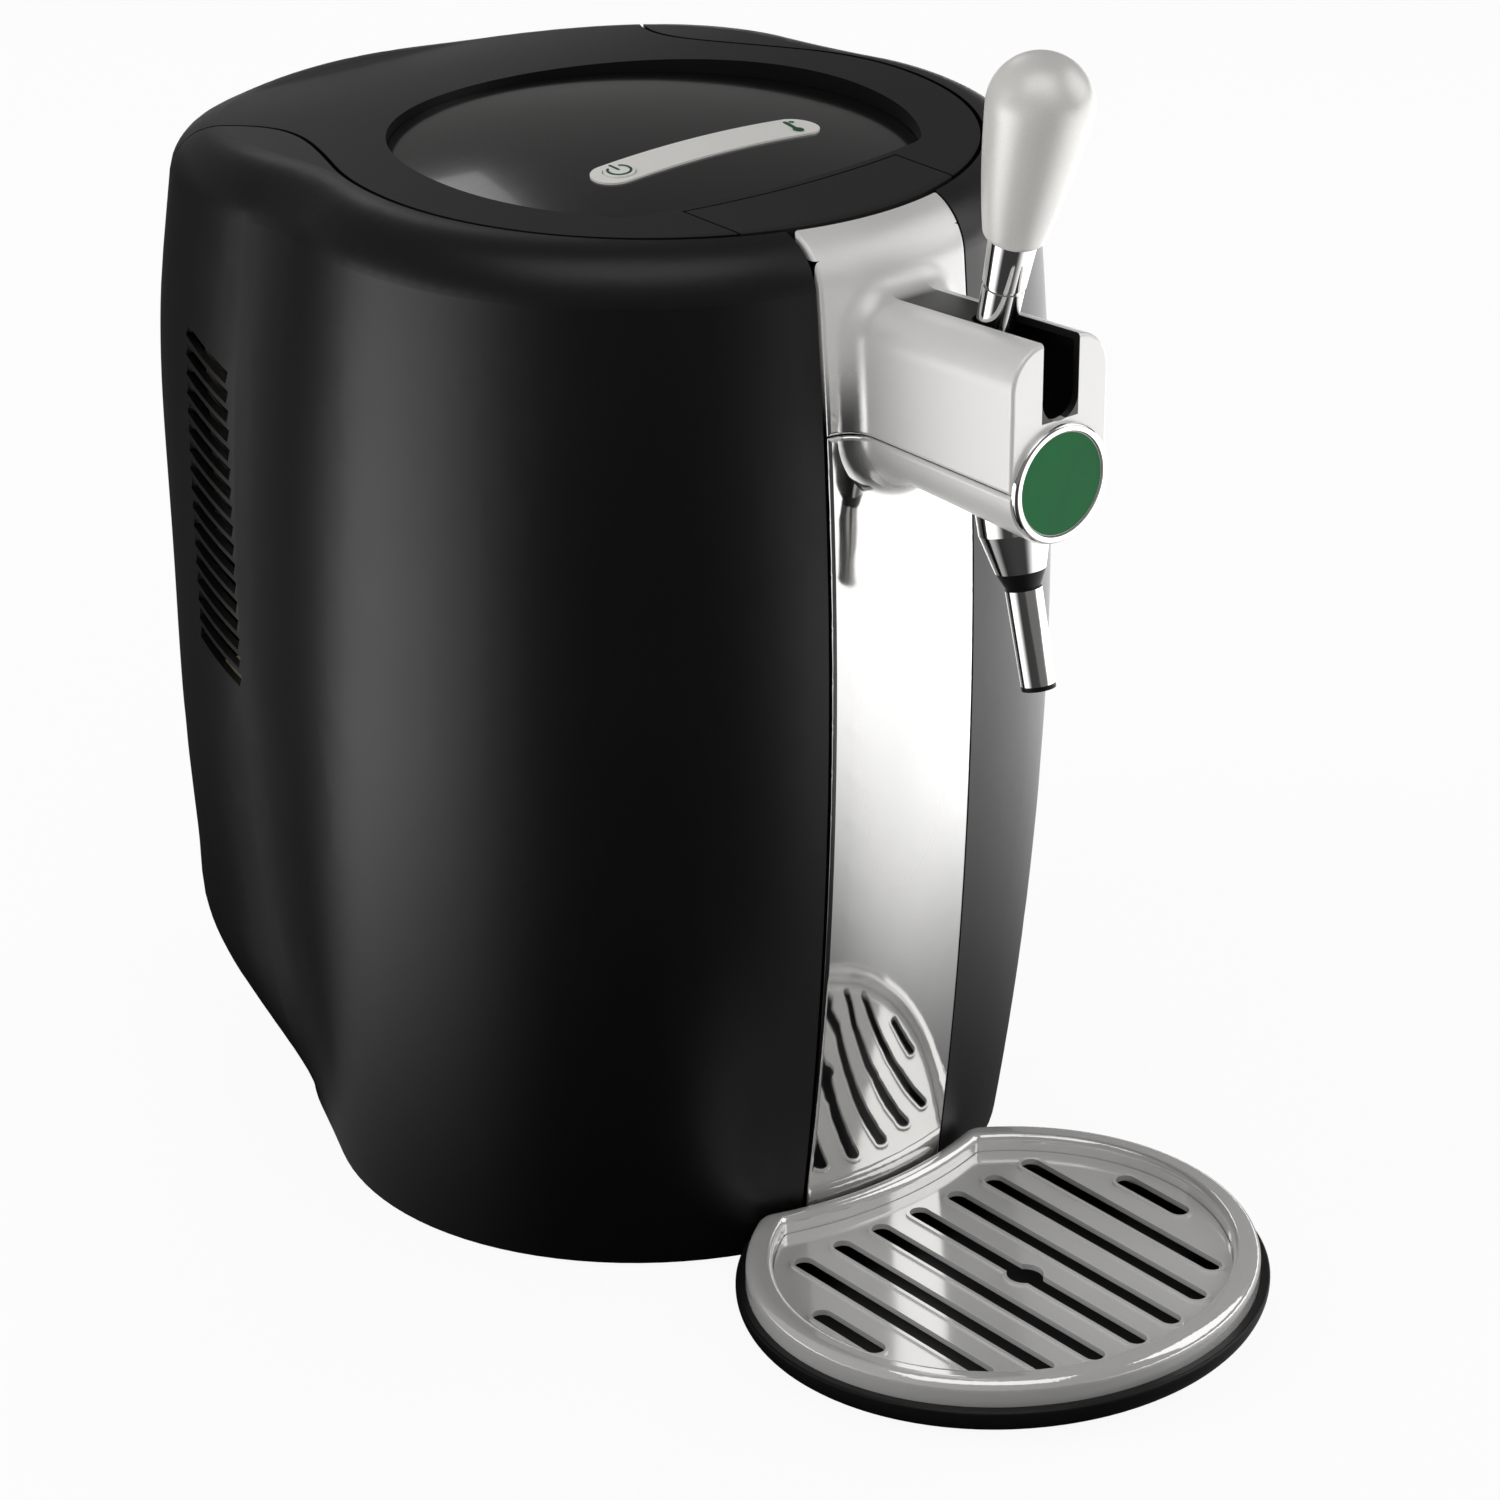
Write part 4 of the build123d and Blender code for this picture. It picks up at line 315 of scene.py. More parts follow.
@dataclass(frozen=True)
class Moulded(Finish):
    """Moulded plastic with an eroded grain and broad flow marks.

    Attributes:
        roughness: mean roughness.
        specular: strength of the reflection.
        grain: width of a grain, in metres.
        depth: depth of the grain, in metres.
        mottle: how far the brightness strays to both sides.
        mark: width of a flow mark, in metres.
        mark_share: share of the flow marks in the colour. The rest is the grain's.
        mark_reach: how far the flow marks change the roughness.
        grain_reach: how far the grain changes it.
    """

    roughness: float = 0.4
    specular: float = 0.32
    grain: float = 0.00045
    depth: float = 0.000012
    mottle: float = 0.16
    mark: float = 0.06
    mark_share: float = 0.6
    mark_reach: float = 0.07
    grain_reach: float = 0.06

    def sockets(self, graph: Graph) -> Values:
        """Grain in the normal, grain and flow marks in the roughness and the colour.

        Args:
            graph: the material's nodes.

        Returns:
            The shader's values.
        """
        grain = graph.noise(self.grain, FINE)
        marks = graph.noise(self.mark, RICH)
        share = marks * self.mark_share + grain * (1 - self.mark_share)
        return {
            "Base Color": self.tones(graph, 1 - self.mottle, 1 + self.mottle, share),
            "Roughness": about(self.roughness, (marks, self.mark_reach), (grain, self.grain_reach)),
            "Specular IOR Level": self.specular,
            "Normal": graph.bump(grain, self.depth),
        }


@dataclass(frozen=True)
class Lacquered(Finish):
    """High gloss plastic with a clear top coat, fine dust and faint wipe marks.

    Attributes:
        roughness: mean roughness under the coat.
        specular: strength of the reflection.
        coat: weight of the clear coat.
        coat_roughness: roughness of the coat.
        spacing: distance between specks of dust, in metres.
        speck: radius of a speck, over the spacing.
        speck_blur: softness of its edge, over the spacing.
        dust_share: share of the dust's colour where a speck is.
        dust_pale: what a speck adds to the colour.
        dust_reach: how much rougher a speck is.
        wipe: width of a wipe mark, in metres.
        wipe_stretch: its lengths along the axes, over its width.
        wipe_reach: how far wipe marks change the roughness.
        wave: width of the waves in the surface, in metres.
        wave_depth: their depth, in metres.
    """

    roughness: float = 0.16
    specular: float = 0.5
    coat: float = 0.4
    coat_roughness: float = 0.05
    spacing: float = 0.0021
    speck: float = 0.07
    speck_blur: float = 0.05
    dust_share: float = 0.5
    dust_pale: float = 0.012
    dust_reach: float = 0.12
    wipe: float = 0.004
    wipe_stretch: Point = (9.0, 1.0, 1.0)
    wipe_reach: float = 0.06
    wave: float = 0.02
    wave_depth: float = 0.00002

    def sockets(self, graph: Graph) -> Values:
        """Dust in the colour, wipe marks in the roughness, waves in the normal.

        Args:
            graph: the material's nodes.

        Returns:
            The shader's values.
        """
        dust = 1 - graph.specks(self.spacing).above(self.speck, self.speck_blur)
        wipes = graph.noise(self.wipe, FINE, self.wipe_stretch)
        dusty = tuple(part * 0.9 + self.dust_pale for part in self.colour)
        return {
            "Base Color": graph.blend(self.colour, dusty, dust * self.dust_share),
            "Roughness": about(self.roughness, (wipes, self.wipe_reach)) + dust * self.dust_reach,
            "Specular IOR Level": self.specular,
            "Coat Weight": self.coat,
            "Coat Roughness": self.coat_roughness,
            "Normal": graph.bump(graph.noise(self.wave, SMOOTH), self.wave_depth),
        }


@dataclass(frozen=True)
class Plated(Finish):
    """Polished plating with faint waves and smears.

    Attributes:
        roughness: roughness of clean plating.
        smear: how much rougher a smear is.
        metallic: how far it is a mirror. Less lets its own pale colour show.
        wave: width of the waves in the surface, in metres.
        wave_depth: their depth, in metres.
        haze: width of the fine haze, in metres.
        haze_reach: how far the haze changes the roughness.
    """

    roughness: float = 0.045
    smear: float = 0.04
    metallic: float = 1.0
    wave: float = 0.03
    wave_depth: float = 0.00012
    haze: float = 0.00035
    haze_reach: float = 0.03

    def sockets(self, graph: Graph) -> Values:
        """Smears in the roughness and the colour, waves in the normal.

        Args:
            graph: the material's nodes.

        Returns:
            The shader's values.
        """
        wiped = smears(graph)
        haze = graph.noise(self.haze, FINE)
        return {
            "Base Color": self.tones(graph, 0.95, 1.03, wiped),
            "Metallic": self.metallic,
            "Roughness": about(self.roughness, (haze, self.haze_reach)) + wiped * self.smear,
            "Normal": graph.bump(graph.noise(self.wave, SMOOTH), self.wave_depth),
        }


@dataclass(frozen=True)
class ArmPlated(Finish):
    """Plating: a mirror on the column, satin on its shoulder and on the arm, painted shade on its
    inner walls.

    Lengths are in metres. An edge has its place first and its softness second.

    Attributes:
        arm_edge: the satin of the arm begins before this place.
        shoulder_edge: the satin of the shoulder begins over this height.
        mirror: roughness of clean plating.
        smear: how much rougher a smear is.
        matting: how much rougher the satin is.
        grain: width of the satin's grain.
        grain_reach: how far the grain adds to the roughness.
        grain_depth: depth of the grain.
        satin_pale: how far the satin's own pale colour takes the mirror's place.
        coat: weight of the clear coat on the satin.
        coat_roughness: roughness of that coat.
        painted_shade: colour of the shade painted on the inner walls.
        slot_side: the lever's slot is as wide as this to both sides.
        slot_floor: height of its floor.
        face_edge: the inner walls lie behind the arm's face.
        middle: height of the arm's middle.
        wall: distance from the middle plane to the middle of the arm's side wall.
        wall_blur: softness of the border in the wall.
        corner_inset: distance from the middle plane to the centre of an upper corner.
        corner_radius: distance from that centre to the middle of the wall.
        corner_height: height of the corner's centre at the origin.
        corner_rise: how far it rises over each metre towards the front.
        belly: flatness of the lower half at the origin, as a share of the round one.
        belly_rise: how far that grows over each metre towards the back.
    """

    arm_edge: Pair = (-0.1, 0.008)
    shoulder_edge: Pair = (0.33, 0.03)
    mirror: float = 0.03
    smear: float = 0.04
    matting: float = 0.295
    grain: float = 0.0005
    grain_reach: float = 0.06
    grain_depth: float = 0.000006
    satin_pale: float = 0.7
    coat: float = 0.15
    coat_roughness: float = 0.3
    painted_shade: Colour = (0.012, 0.012, 0.012)
    slot_side: Pair = (0.0079, 0.0002)
    slot_floor: Pair = (0.3345, 0.0004)
    face_edge: Pair = (-0.1676, 0.0004)
    middle: float = 0.3129
    wall: float = 0.01965
    wall_blur: float = 0.0003
    corner_inset: float = 0.00695
    corner_radius: float = 0.0127
    corner_height: float = 0.33803
    corner_rise: float = 0.0585
    belly: float = 1.415
    belly_rise: float = 2.44

    def inside(self, across: Term, along: Term, up: Term) -> Term:
        """Returns the mask of the shade painted on the slot's walls and on the arm's inner walls.

        A wall is an inner one where it is nearer to the middle of its section than the middle
        of the wall's thickness. Above the arm's middle height the section is a rounded
        rectangle whose corner centres rise towards the front. Below it is half an ellipse
        that grows flatter towards the column.

        Args:
            across: distance from the middle plane, with its sign.
            along: distance towards the back.
            up: height.

        Returns:
            The mask.
        """
        reach = abs(across)
        slot = (1 - reach.above(*self.slot_side)) * up.above(*self.slot_floor)
        aside = (reach - self.corner_inset).kept()
        over = (up + along * self.corner_rise - self.corner_height).kept()
        below = (self.middle - up).kept() * (along * self.belly_rise + self.belly)
        corner = (aside * aside + over * over).root()
        round_wall = (across * across + below * below).root()
        high = 1 - corner.above(self.corner_radius, self.wall_blur)
        low = 1 - round_wall.above(self.wall, self.wall_blur)
        room = high * low * along.above(*self.face_edge)
        return (slot + room).above(0.5, 0.5)

    def sockets(self, graph: Graph) -> Values:
        """The distance towards the front and the height tell satin from mirror, and place the
        painted shade on the inner walls.

        Args:
            graph: the material's nodes.

        Returns:
            The shader's values.
        """
        across, along, up = graph.axes()
        front = 1 - along.above(*self.arm_edge)
        satin = 1 - (1 - front) * (1 - up.above(*self.shoulder_edge))
        # Painted shade: the slot's walls and the arm's inner walls get a near-black colour and no
        # metal, in place of the shade inside the cavity.
        inner = self.inside(across, along, up) * front
        wiped = smears(graph)
        grain = graph.noise(self.grain, SOFT)
        rough = wiped * self.smear + self.mirror
        return {
            "Base Color": graph.blend(self.tones(graph, 0.96, 1.02, wiped), self.painted_shade, inner),
            "Metallic": (1 - satin * self.satin_pale) * (1 - inner),
            "Roughness": rough + satin * (grain * self.grain_reach + self.matting),
            "Coat Weight": satin * self.coat,
            "Coat Roughness": self.coat_roughness,
            "Normal": graph.bump(grain * satin, self.grain_depth),
        }


@dataclass(frozen=True)
class Pearl(Finish):
    """Metallic paint: bright flakes under a satin coat.

    Attributes:
        roughness: mean roughness.
        metallic: mean share of the flakes' mirror.
        flake: distance between flakes, in metres.
        flake_share: share of the flakes in the colour. The rest is in broad clouds.
        flake_reach: how far the flakes change the metallic share.
        cloud: width of a cloud, in metres.
        grain: width of the coat's grain, in metres.
        grain_reach: how far the grain changes the roughness.
        grain_depth: depth of the grain, in metres.
        coat: weight of the clear coat.
        coat_roughness: roughness of that coat.
    """

    roughness: float = 0.38
    metallic: float = 0.3
    flake: float = 0.0004
    flake_share: float = 0.6
    flake_reach: float = 0.2
    cloud: float = 0.03
    grain: float = 0.0005
    grain_reach: float = 0.08
    grain_depth: float = 0.000008
    coat: float = 0.15
    coat_roughness: float = 0.3

    def sockets(self, graph: Graph) -> Values:
        """Flakes in the colour and the metallic share, a satin grain in the normal.

        Args:
            graph: the material's nodes.

        Returns:
            The shader's values.
        """
        flakes = graph.specks(self.flake)
        grain = graph.noise(self.grain, SOFT)
        clouds = graph.noise(self.cloud, SOFT)
        share = flakes * self.flake_share + clouds * (1 - self.flake_share)
        return {
            "Base Color": self.tones(graph, 0.9, 1.08, share),
            "Metallic": about(self.metallic, (flakes, self.flake_reach)),
            "Roughness": about(self.roughness, (grain, self.grain_reach)),
            "Coat Weight": self.coat,
            "Coat Roughness": self.coat_roughness,
            "Normal": graph.bump(grain, self.grain_depth),
        }


@dataclass(frozen=True)
class Enamel(Finish):
    """Printed disc under a clear dome: a plain field with a pale hoop near its edge.

    Attributes:
        middle: height of the disc's centre, in metres.
        radius: the disc's radius, in metres.
        hoop: colour of the hoop.
        hoop_edge: where the hoop begins and how softly, over the radius.
        cloud: width of the clouds in the field, in metres.
        cloud_reach: how far they add to the roughness.
        roughness: least roughness.
        specular: strength of the reflection.
        coat: weight of the clear coat.
        coat_roughness: roughness of that coat.
    """

    middle: float = 0.3129
    radius: float = 0.018
    hoop: Colour = (0.8, 0.82, 0.78)
    hoop_edge: Pair = (0.965, 0.012)
    cloud: float = 0.012
    cloud_reach: float = 0.06
    roughness: float = 0.3
    specular: float = 0.12
    coat: float = 0.04
    coat_roughness: float = 0.05

    def sockets(self, graph: Graph) -> Values:
        """The distance from the disc's centre, measured across its face, places the hoop.

        Args:
            graph: the material's nodes.

        Returns:
            The shader's values.
        """
        across, _, up = graph.axes()
        rise = up - self.middle
        reach = (across * across + rise * rise).root() / self.radius
        clouds = graph.noise(self.cloud, FINE)
        field = self.tones(graph, 0.86, 1.12, clouds)
        return {
            "Base Color": graph.blend(field, self.hoop, reach.above(*self.hoop_edge)),
            "Roughness": clouds * self.cloud_reach + self.roughness,
            "Specular IOR Level": self.specular,
            "Coat Weight": self.coat,
            "Coat Roughness": self.coat_roughness,
        }


@dataclass(frozen=True)
class Machined(Finish):
    """Bare metal with drawn lines along one axis.

    Attributes:
        roughness: mean roughness.
        drawn: lengths of a line along the axes, over its width.
        line: width of a line, in metres.
        line_share: share of the lines in the colour. The rest is in clouds.
        line_reach: how far the lines change the roughness.
        line_depth: their depth, in metres.
        cloud: width of a cloud, in metres.
        cloud_reach: how far the clouds change the roughness.
    """

    roughness: float = 0.3
    drawn: Point = (12.0, 1.0, 1.0)
    line: float = 0.0006
    line_share: float = 0.6
    line_reach: float = 0.14
    line_depth: float = 0.00001
    cloud: float = 0.02
    cloud_reach: float = 0.06

    def sockets(self, graph: Graph) -> Values:
        """Stretched noise in the roughness, the colour and the normal.

        Args:
            graph: the material's nodes.

        Returns:
            The shader's values.
        """
        lines = graph.noise(self.line, FINE, self.drawn)
        clouds = graph.noise(self.cloud, FINE)
        share = lines * self.line_share + clouds * (1 - self.line_share)
        parts = ((lines, self.line_reach), (clouds, self.cloud_reach))
        return {
            "Base Color": self.tones(graph, 0.86, 1.0, share),
            "Metallic": 1.0,
            "Roughness": about(self.roughness, *parts),
            "Normal": graph.bump(lines, self.line_depth),
        }


@dataclass(frozen=True)
class Cellular(Finish):
    """Rigid foam with open cells at its cut faces.

    Attributes:
        cell: width of a cell, in metres.
        cell_share: share of the cells in the colour. The rest is in clouds.
        cell_reach: how far the cells add to the roughness.
        cell_depth: depth of a cell, in metres.
        cloud: width of a cloud, in metres.
        roughness: least roughness.
        specular: strength of the reflection.
    """

    cell: float = 0.0016
    cell_share: float = 0.7
    cell_reach: float = 0.1
    cell_depth: float = 0.0004
    cloud: float = 0.03
    roughness: float = 0.82
    specular: float = 0.2

    def sockets(self, graph: Graph) -> Values:
        """Cells in the normal and the colour.

        Args:
            graph: the material's nodes.

        Returns:
            The shader's values.
        """
        cells = graph.specks(self.cell)
        clouds = graph.noise(self.cloud, FINE)
        share = cells * self.cell_share + clouds * (1 - self.cell_share)
        return {
            "Base Color": self.tones(graph, 0.78, 1.0, share),
            "Roughness": cells * self.cell_reach + self.roughness,
            "Specular IOR Level": self.specular,
            "Normal": graph.bump(cells, self.cell_depth, 0.5),
        }


@dataclass(frozen=True)
class Circuit(Finish):
    """Printed board: straight copper tracks under green lacquer.

    Attributes:
        track: colour of a track.
        track_edge: where a track begins and how softly, over the cells' spacing.
        track_reach: how much rougher a track is.
        track_depth: height of a track, in metres.
        pitch: cells to a metre.
        scatter: how far the cells leave their even rows.
        roughness: roughness of the board.
        coat: weight of the lacquer.
    """

    track: Colour = (0.05, 0.3, 0.12)
    track_edge: Pair = (0.42, 0.05)
    track_reach: float = 0.1
    track_depth: float = 0.00004
    pitch: float = 260.0
    scatter: float = 0.35
    roughness: float = 0.3
    coat: float = 0.3

    def sockets(self, graph: Graph) -> Values:
        """Square cells, joined into tracks, in the colour and the normal.

        Args:
            graph: the material's nodes.

        Returns:
            The shader's values.
        """
        scaled = {"Vector": graph.place(), "Scale": self.pitch, "Randomness": self.scatter}
        cells = graph.term("ShaderNodeTexVoronoi", {"distance": "CHEBYCHEV"}, scaled)
        tracks = cells.above(*self.track_edge)
        return {
            "Base Color": graph.blend(self.colour, self.track, tracks),
            "Roughness": tracks * self.track_reach + self.roughness,
            "Coat Weight": self.coat,
            "Normal": graph.bump(tracks, self.track_depth),
        }


class Slot(Enum):
    """The finishes by the record's material slots, and those of single nodes and the ink."""

    body_black = Moulded((0.0032, 0.003, 0.0031), roughness=0.38, specular=0.5)
    lid_grey = Moulded((0.0065, 0.0063, 0.0063), roughness=0.4, specular=0.3)
    key_grey = Moulded((0.011, 0.0105, 0.0108), roughness=0.5, specular=0.34)
    dome_black = Lacquered((0.003, 0.0028, 0.003), roughness=0.16, specular=0.45, coat=0.3)
    strip_silver = Pearl((0.86, 0.855, 0.83), roughness=0.4, metallic=0.1)
    chrome = Plated((0.86, 0.855, 0.85))
    arm_chrome = ArmPlated((0.86, 0.855, 0.845))
    grid_chrome = Plated((0.88, 0.875, 0.865), roughness=0.09, smear=0.05, metallic=0.5)
    rim_chrome = Plated((0.88, 0.875, 0.865), roughness=0.06, smear=0.04, metallic=0.6)
    handle_silver = Pearl((0.84, 0.825, 0.805), roughness=0.38, metallic=0.3)
    badge_green = Enamel((0.004, 0.15, 0.04))
    black_plastic = Moulded((0.005, 0.005, 0.005), roughness=0.46, specular=0.2)
    tray_black = Moulded((0.006, 0.006, 0.0065), roughness=0.36, specular=0.36)
    liner_grey = Moulded((0.55, 0.57, 0.58), roughness=0.3, specular=0.5, grain=0.0008)
    foam = Cellular((0.86, 0.83, 0.72))
    aluminium = Machined((0.78, 0.79, 0.8), roughness=0.34, drawn=(1.0, 1.0, 14.0))
    steel = Machined((0.6, 0.6, 0.6), roughness=0.28)
    rubber = Moulded((0.022, 0.022, 0.022), roughness=0.72, specular=0.25, grain=0.0007,
                     depth=0.00003)
    ceramic = Moulded((0.86, 0.86, 0.84), roughness=0.5, specular=0.4)
    board_green = Circuit((0.02, 0.16, 0.06))
    brass = Machined((0.8, 0.62, 0.3), roughness=0.26)
    white_plastic = Moulded((0.78, 0.78, 0.77), roughness=0.42, specular=0.45)
    ink_green = Moulded((0.012, 0.085, 0.035), roughness=0.5, specular=0.3, grain=0.0002,
                        depth=0.000004)


class Wardrobe:
    """Builds each finish once and dresses pieces with it."""

    OWN = {"tap_column": Slot.arm_chrome, "tap_head": Slot.arm_chrome,
           "drip_grid": Slot.grid_chrome, "tray_rim": Slot.rim_chrome}

    def __init__(self) -> None:
        """Starts with no material built."""
        self.built: dict[Slot, bpy.types.Material] = {}

    def material(self, slot: Slot) -> bpy.types.Material:
        """Returns the slot's material, built at its first use."""
        if slot not in self.built:
            self.built[slot] = slot.value.material(slot.name)
        return self.built[slot]

    def dress_nodes(self, nodes: Mapping[str, bpy.types.Object]) -> None:
        """Gives every solid of the model the finish of its slot, or one of its own.

        Args:
            nodes: the model's objects by node name.
        """
        known = {slot.name: slot for slot in Slot}
        for name, piece in nodes.items():
            for holder in piece.material_slots:
                slot = self.OWN.get(name, known.get(holder.material.name.split(".")[0]))
                if slot is not None:
                    holder.material = self.material(slot)
            LOG.info("dressed %s", name)

    def dress(self, piece: bpy.types.Object, finish: Slot, slot: str) -> None:
        """Gives a new piece its finish.

        Args:
            piece: the new piece.
            finish: its finish.
            slot: the record's slot. Not used.
        """
        piece.data.materials.append(self.material(finish))


# ------------------------------------------------------------------------ meshes
def sheet_faces(rows: int, columns: int, wrap: bool) -> np.ndarray:
    """Returns the quads of a grid of points.

    Args:
        rows: points along the first parameter.
        columns: points along the second.
        wrap: whether the first parameter comes back to its start.

    Returns:
        An array of four point numbers a face.
    """
    first = np.arange(rows if wrap else rows - 1)[:, None]
    second = np.arange(columns - 1)[None, :]
    after = (first + 1) % rows
    corners = (first * columns + second, after * columns + second,
               after * columns + second + 1, first * columns + second + 1)
    return np.stack(np.broadcast_arrays(*corners), axis=-1).reshape(-1, 4)


def sheet_object(name: str, points: np.ndarray, wrap: bool) -> bpy.types.Object:
    """Makes a smooth surface from a grid of points.

    Args:
        name: the piece's name.
        points: array of rows, columns and three coordinates, in metres.
        wrap: whether the rows close on themselves.

    Returns:
        The object, linked into the scene.
    """
    rows, columns = points.shape[:2]
    mesh = bpy.data.meshes.new(name)
    mesh.from_pydata(points.reshape(-1, 3).tolist(), [], sheet_faces(rows, columns, wrap).tolist())
    mesh.shade_smooth()
    made = bpy.data.objects.new(name, mesh)
    bpy.context.scene.collection.objects.link(made)
    return made


def stroke(path: np.ndarray, width: float, closed: bool) -> np.ndarray:
    """Widens a flat line into a ribbon.

    Each point moves half the width to both sides along the line's own normal, which is
    its tangent turned by a right angle.

    Args:
        path: array of points in the plane.
        width: the ribbon's width.
        closed: whether the line comes back to its start.

    Returns:
        An array of rows, two columns and two coordinates.
    """
    if closed:
        tangent = np.roll(path, -1, axis=0) - np.roll(path, 1, axis=0)
    else:
        tangent = np.gradient(path, axis=0)
    tangent = tangent / np.linalg.norm(tangent, axis=1, keepdims=True)
    normal = np.stack([-tangent[:, 1], tangent[:, 0]], axis=1)
    return np.stack([path - normal * width / 2, path + normal * width / 2], axis=1)


def circle(count: int) -> np.ndarray:
    """Returns the points of a circle of radius 1: the cosine and sine of evenly spaced angles."""
    turn = np.linspace(0.0, 2 * np.pi, count, endpoint=False)
    return np.stack([np.cos(turn), np.sin(turn)], axis=1)


def capsule(start: np.ndarray, end: np.ndarray, width: float, count: int = 24,
            least: float = 0.01) -> np.ndarray:
    """Returns a bar with round ends as a grid.

    Along the bar the half width follows a half circle over each end, and the full half
    width between them.

    Args:
        start: centre of the first round end.
        end: centre of the other.
        width: the bar's width.
        count: points over each end.
        least: half width at the tips, as a share of the widest, so that no face has no area.

    Returns:
        An array of rows, two columns and two coordinates.
    """
    radius = width / 2
    turn = np.linspace(0.0, np.pi / 2, count)
    rise = radius * (1 - np.cos(turn))
    length = float(np.linalg.norm(end - start))
    along = np.concatenate([rise - radius, length + radius - rise[::-1]])
    half = np.concatenate([radius * np.sin(turn), radius * np.sin(turn[::-1])])
    half = np.maximum(half, radius * least)
    direction = (end - start) / length
    normal = np.array([-direction[1], direction[0]])
    middle = start + along[:, None] * direction
    return np.stack([middle - normal * half[:, None], middle + normal * half[:, None]], axis=1)


# ------------------------------------------------------------------ sub-assemblies
@dataclass
class ControlStrip:
    """The two plain symbols printed on the power key and on the silver strip in the dome.

    Lengths are in millimetres. Places are measured across and along from the barrel's axis.

    Attributes:
        wardrobe: the finishes.
        dome_top: height of the dome.
        dome_centre: place of its highest point along Y.
        dome_radius: radius of its sphere.
        strip_lift: how far the strip stands over the dome.
        key_lift: how far the power key does.
        ink: thickness of the print.
        key: place of the power key.
        ring_radius: radius of the on and off symbol.
        ring_span: where its ring begins and ends, in degrees.
        ring_count: points along the ring.
        line: width of its lines.
        bar_span: where its bar begins and ends over the key's centre.
        bulb: place of the thermometer's bulb.
        bulb_radius: radius of the bulb.
        bulb_hole: radius of the hole in its middle, too small to see.
        stem: from the bulb to the end of the thermometer's stem.
        stem_width: width of the stem.
        degree: from the bulb to the degree ring.
        degree_radius: radius of that ring.
        degree_line: width of its line.
        circle_count: points along a full circle.
    """

    wardrobe: Wardrobe
    dome_top: float = 381.9
    dome_centre: float = -3.0
    dome_radius: float = 520.0
    strip_lift: float = 0.7
    key_lift: float = 1.2
    ink: float = 0.16
    key: Pair = (-38.0, -25.0)
    ring_radius: float = 4.0
    ring_span: Pair = (124.0, 416.0)
    ring_count: int = 72
    line: float = 0.85
    bar_span: Pair = (0.4, 5.2)
    bulb: Pair = (38.0, -28.8)
    bulb_radius: float = 2.0
    bulb_hole: float = 0.02
    stem: Pair = (1.2, 8.4)
    stem_width: float = 1.8
    degree: Pair = (3.6, 8.0)
    degree_radius: float = 0.75
    degree_line: float = 0.45
    circle_count: int = 48

    def laid(self, flat: np.ndarray, lift: float) -> np.ndarray:
        """Lays flat points on the dome.

        The height is that of the dome's sphere at each point, raised by the lift.

        Args:
            flat: points in millimetres about the barrel's axis.
            lift: height over the dome, in millimetres.

        Returns:
            The points in metres.
        """
        x, y = flat[..., 0], flat[..., 1]
        drop = np.sqrt(self.dome_radius ** 2 - x ** 2 - (y - self.dome_centre) ** 2)
        height = self.dome_top - self.dome_radius + drop + lift
        return np.stack([x, y + SHIFT, height], axis=-1) * MM

    def inked(self, name: str, flat: np.ndarray, lift: float, body: str, wrap: bool) -> None:
        """Makes one printed line.

        Args:
            name: the piece's name.
            flat: its grid in millimetres.
            lift: height over the dome.
            body: the body that carries it.
            wrap: whether it closes on itself.
        """
        piece = sheet_object(name, self.laid(flat, lift + self.ink), wrap)
        thick = piece.modifiers.new("thickness", "SOLIDIFY")
        thick.thickness = self.ink * MM
        thick.offset = -1.0
        self.wardrobe.dress(piece, Slot.ink_green, "badge_green")
        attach(piece, body)
        LOG.info("made %s", name)

    def print_power(self) -> None:
        """Prints the on and off symbol on the key: an open ring and a bar in its gap."""
        centre = np.array(self.key)
        turn = np.linspace(*np.radians(self.ring_span), self.ring_count)
        ring = centre + self.ring_radius * np.stack([np.cos(turn), np.sin(turn)], axis=1)
        start, end = ((0.0, place) for place in self.bar_span)
        bar = capsule(centre + start, centre + end, self.line)
        ribbon = stroke(ring, self.line, False)
        self.inked("power_ring", ribbon, self.key_lift, "power_key", False)
        self.inked("power_bar", bar, self.key_lift, "power_key", False)

    def print_gauge(self) -> None:
        """Prints the thermometer on the strip: a stem, its bulb and a degree ring."""
        foot = np.array(self.bulb)
        points = circle(self.circle_count)
        stem = capsule(foot, foot + self.stem, self.stem_width)
        bulb = np.stack([foot + points * self.bulb_hole, foot + points * self.bulb_radius], axis=1)
        mark = foot + self.degree + points * self.degree_radius
        degree = stroke(mark, self.degree_line, True)
        self.inked("gauge_tube", stem, self.strip_lift, "lid", False)
        self.inked("gauge_bulb", bulb, self.strip_lift, "lid", True)
        self.inked("gauge_degree", degree, self.strip_lift, "lid", True)

    def build(self) -> None:
        """Prints both symbols."""
        self.print_power()
        self.print_gauge()


def aim(thing: bpy.types.Object, target: Point) -> None:
    """Turns a camera or lamp to its target."""
    direction = Vector(target) - thing.location
    thing.rotation_euler = direction.to_track_quat("-Z", "Y").to_euler()


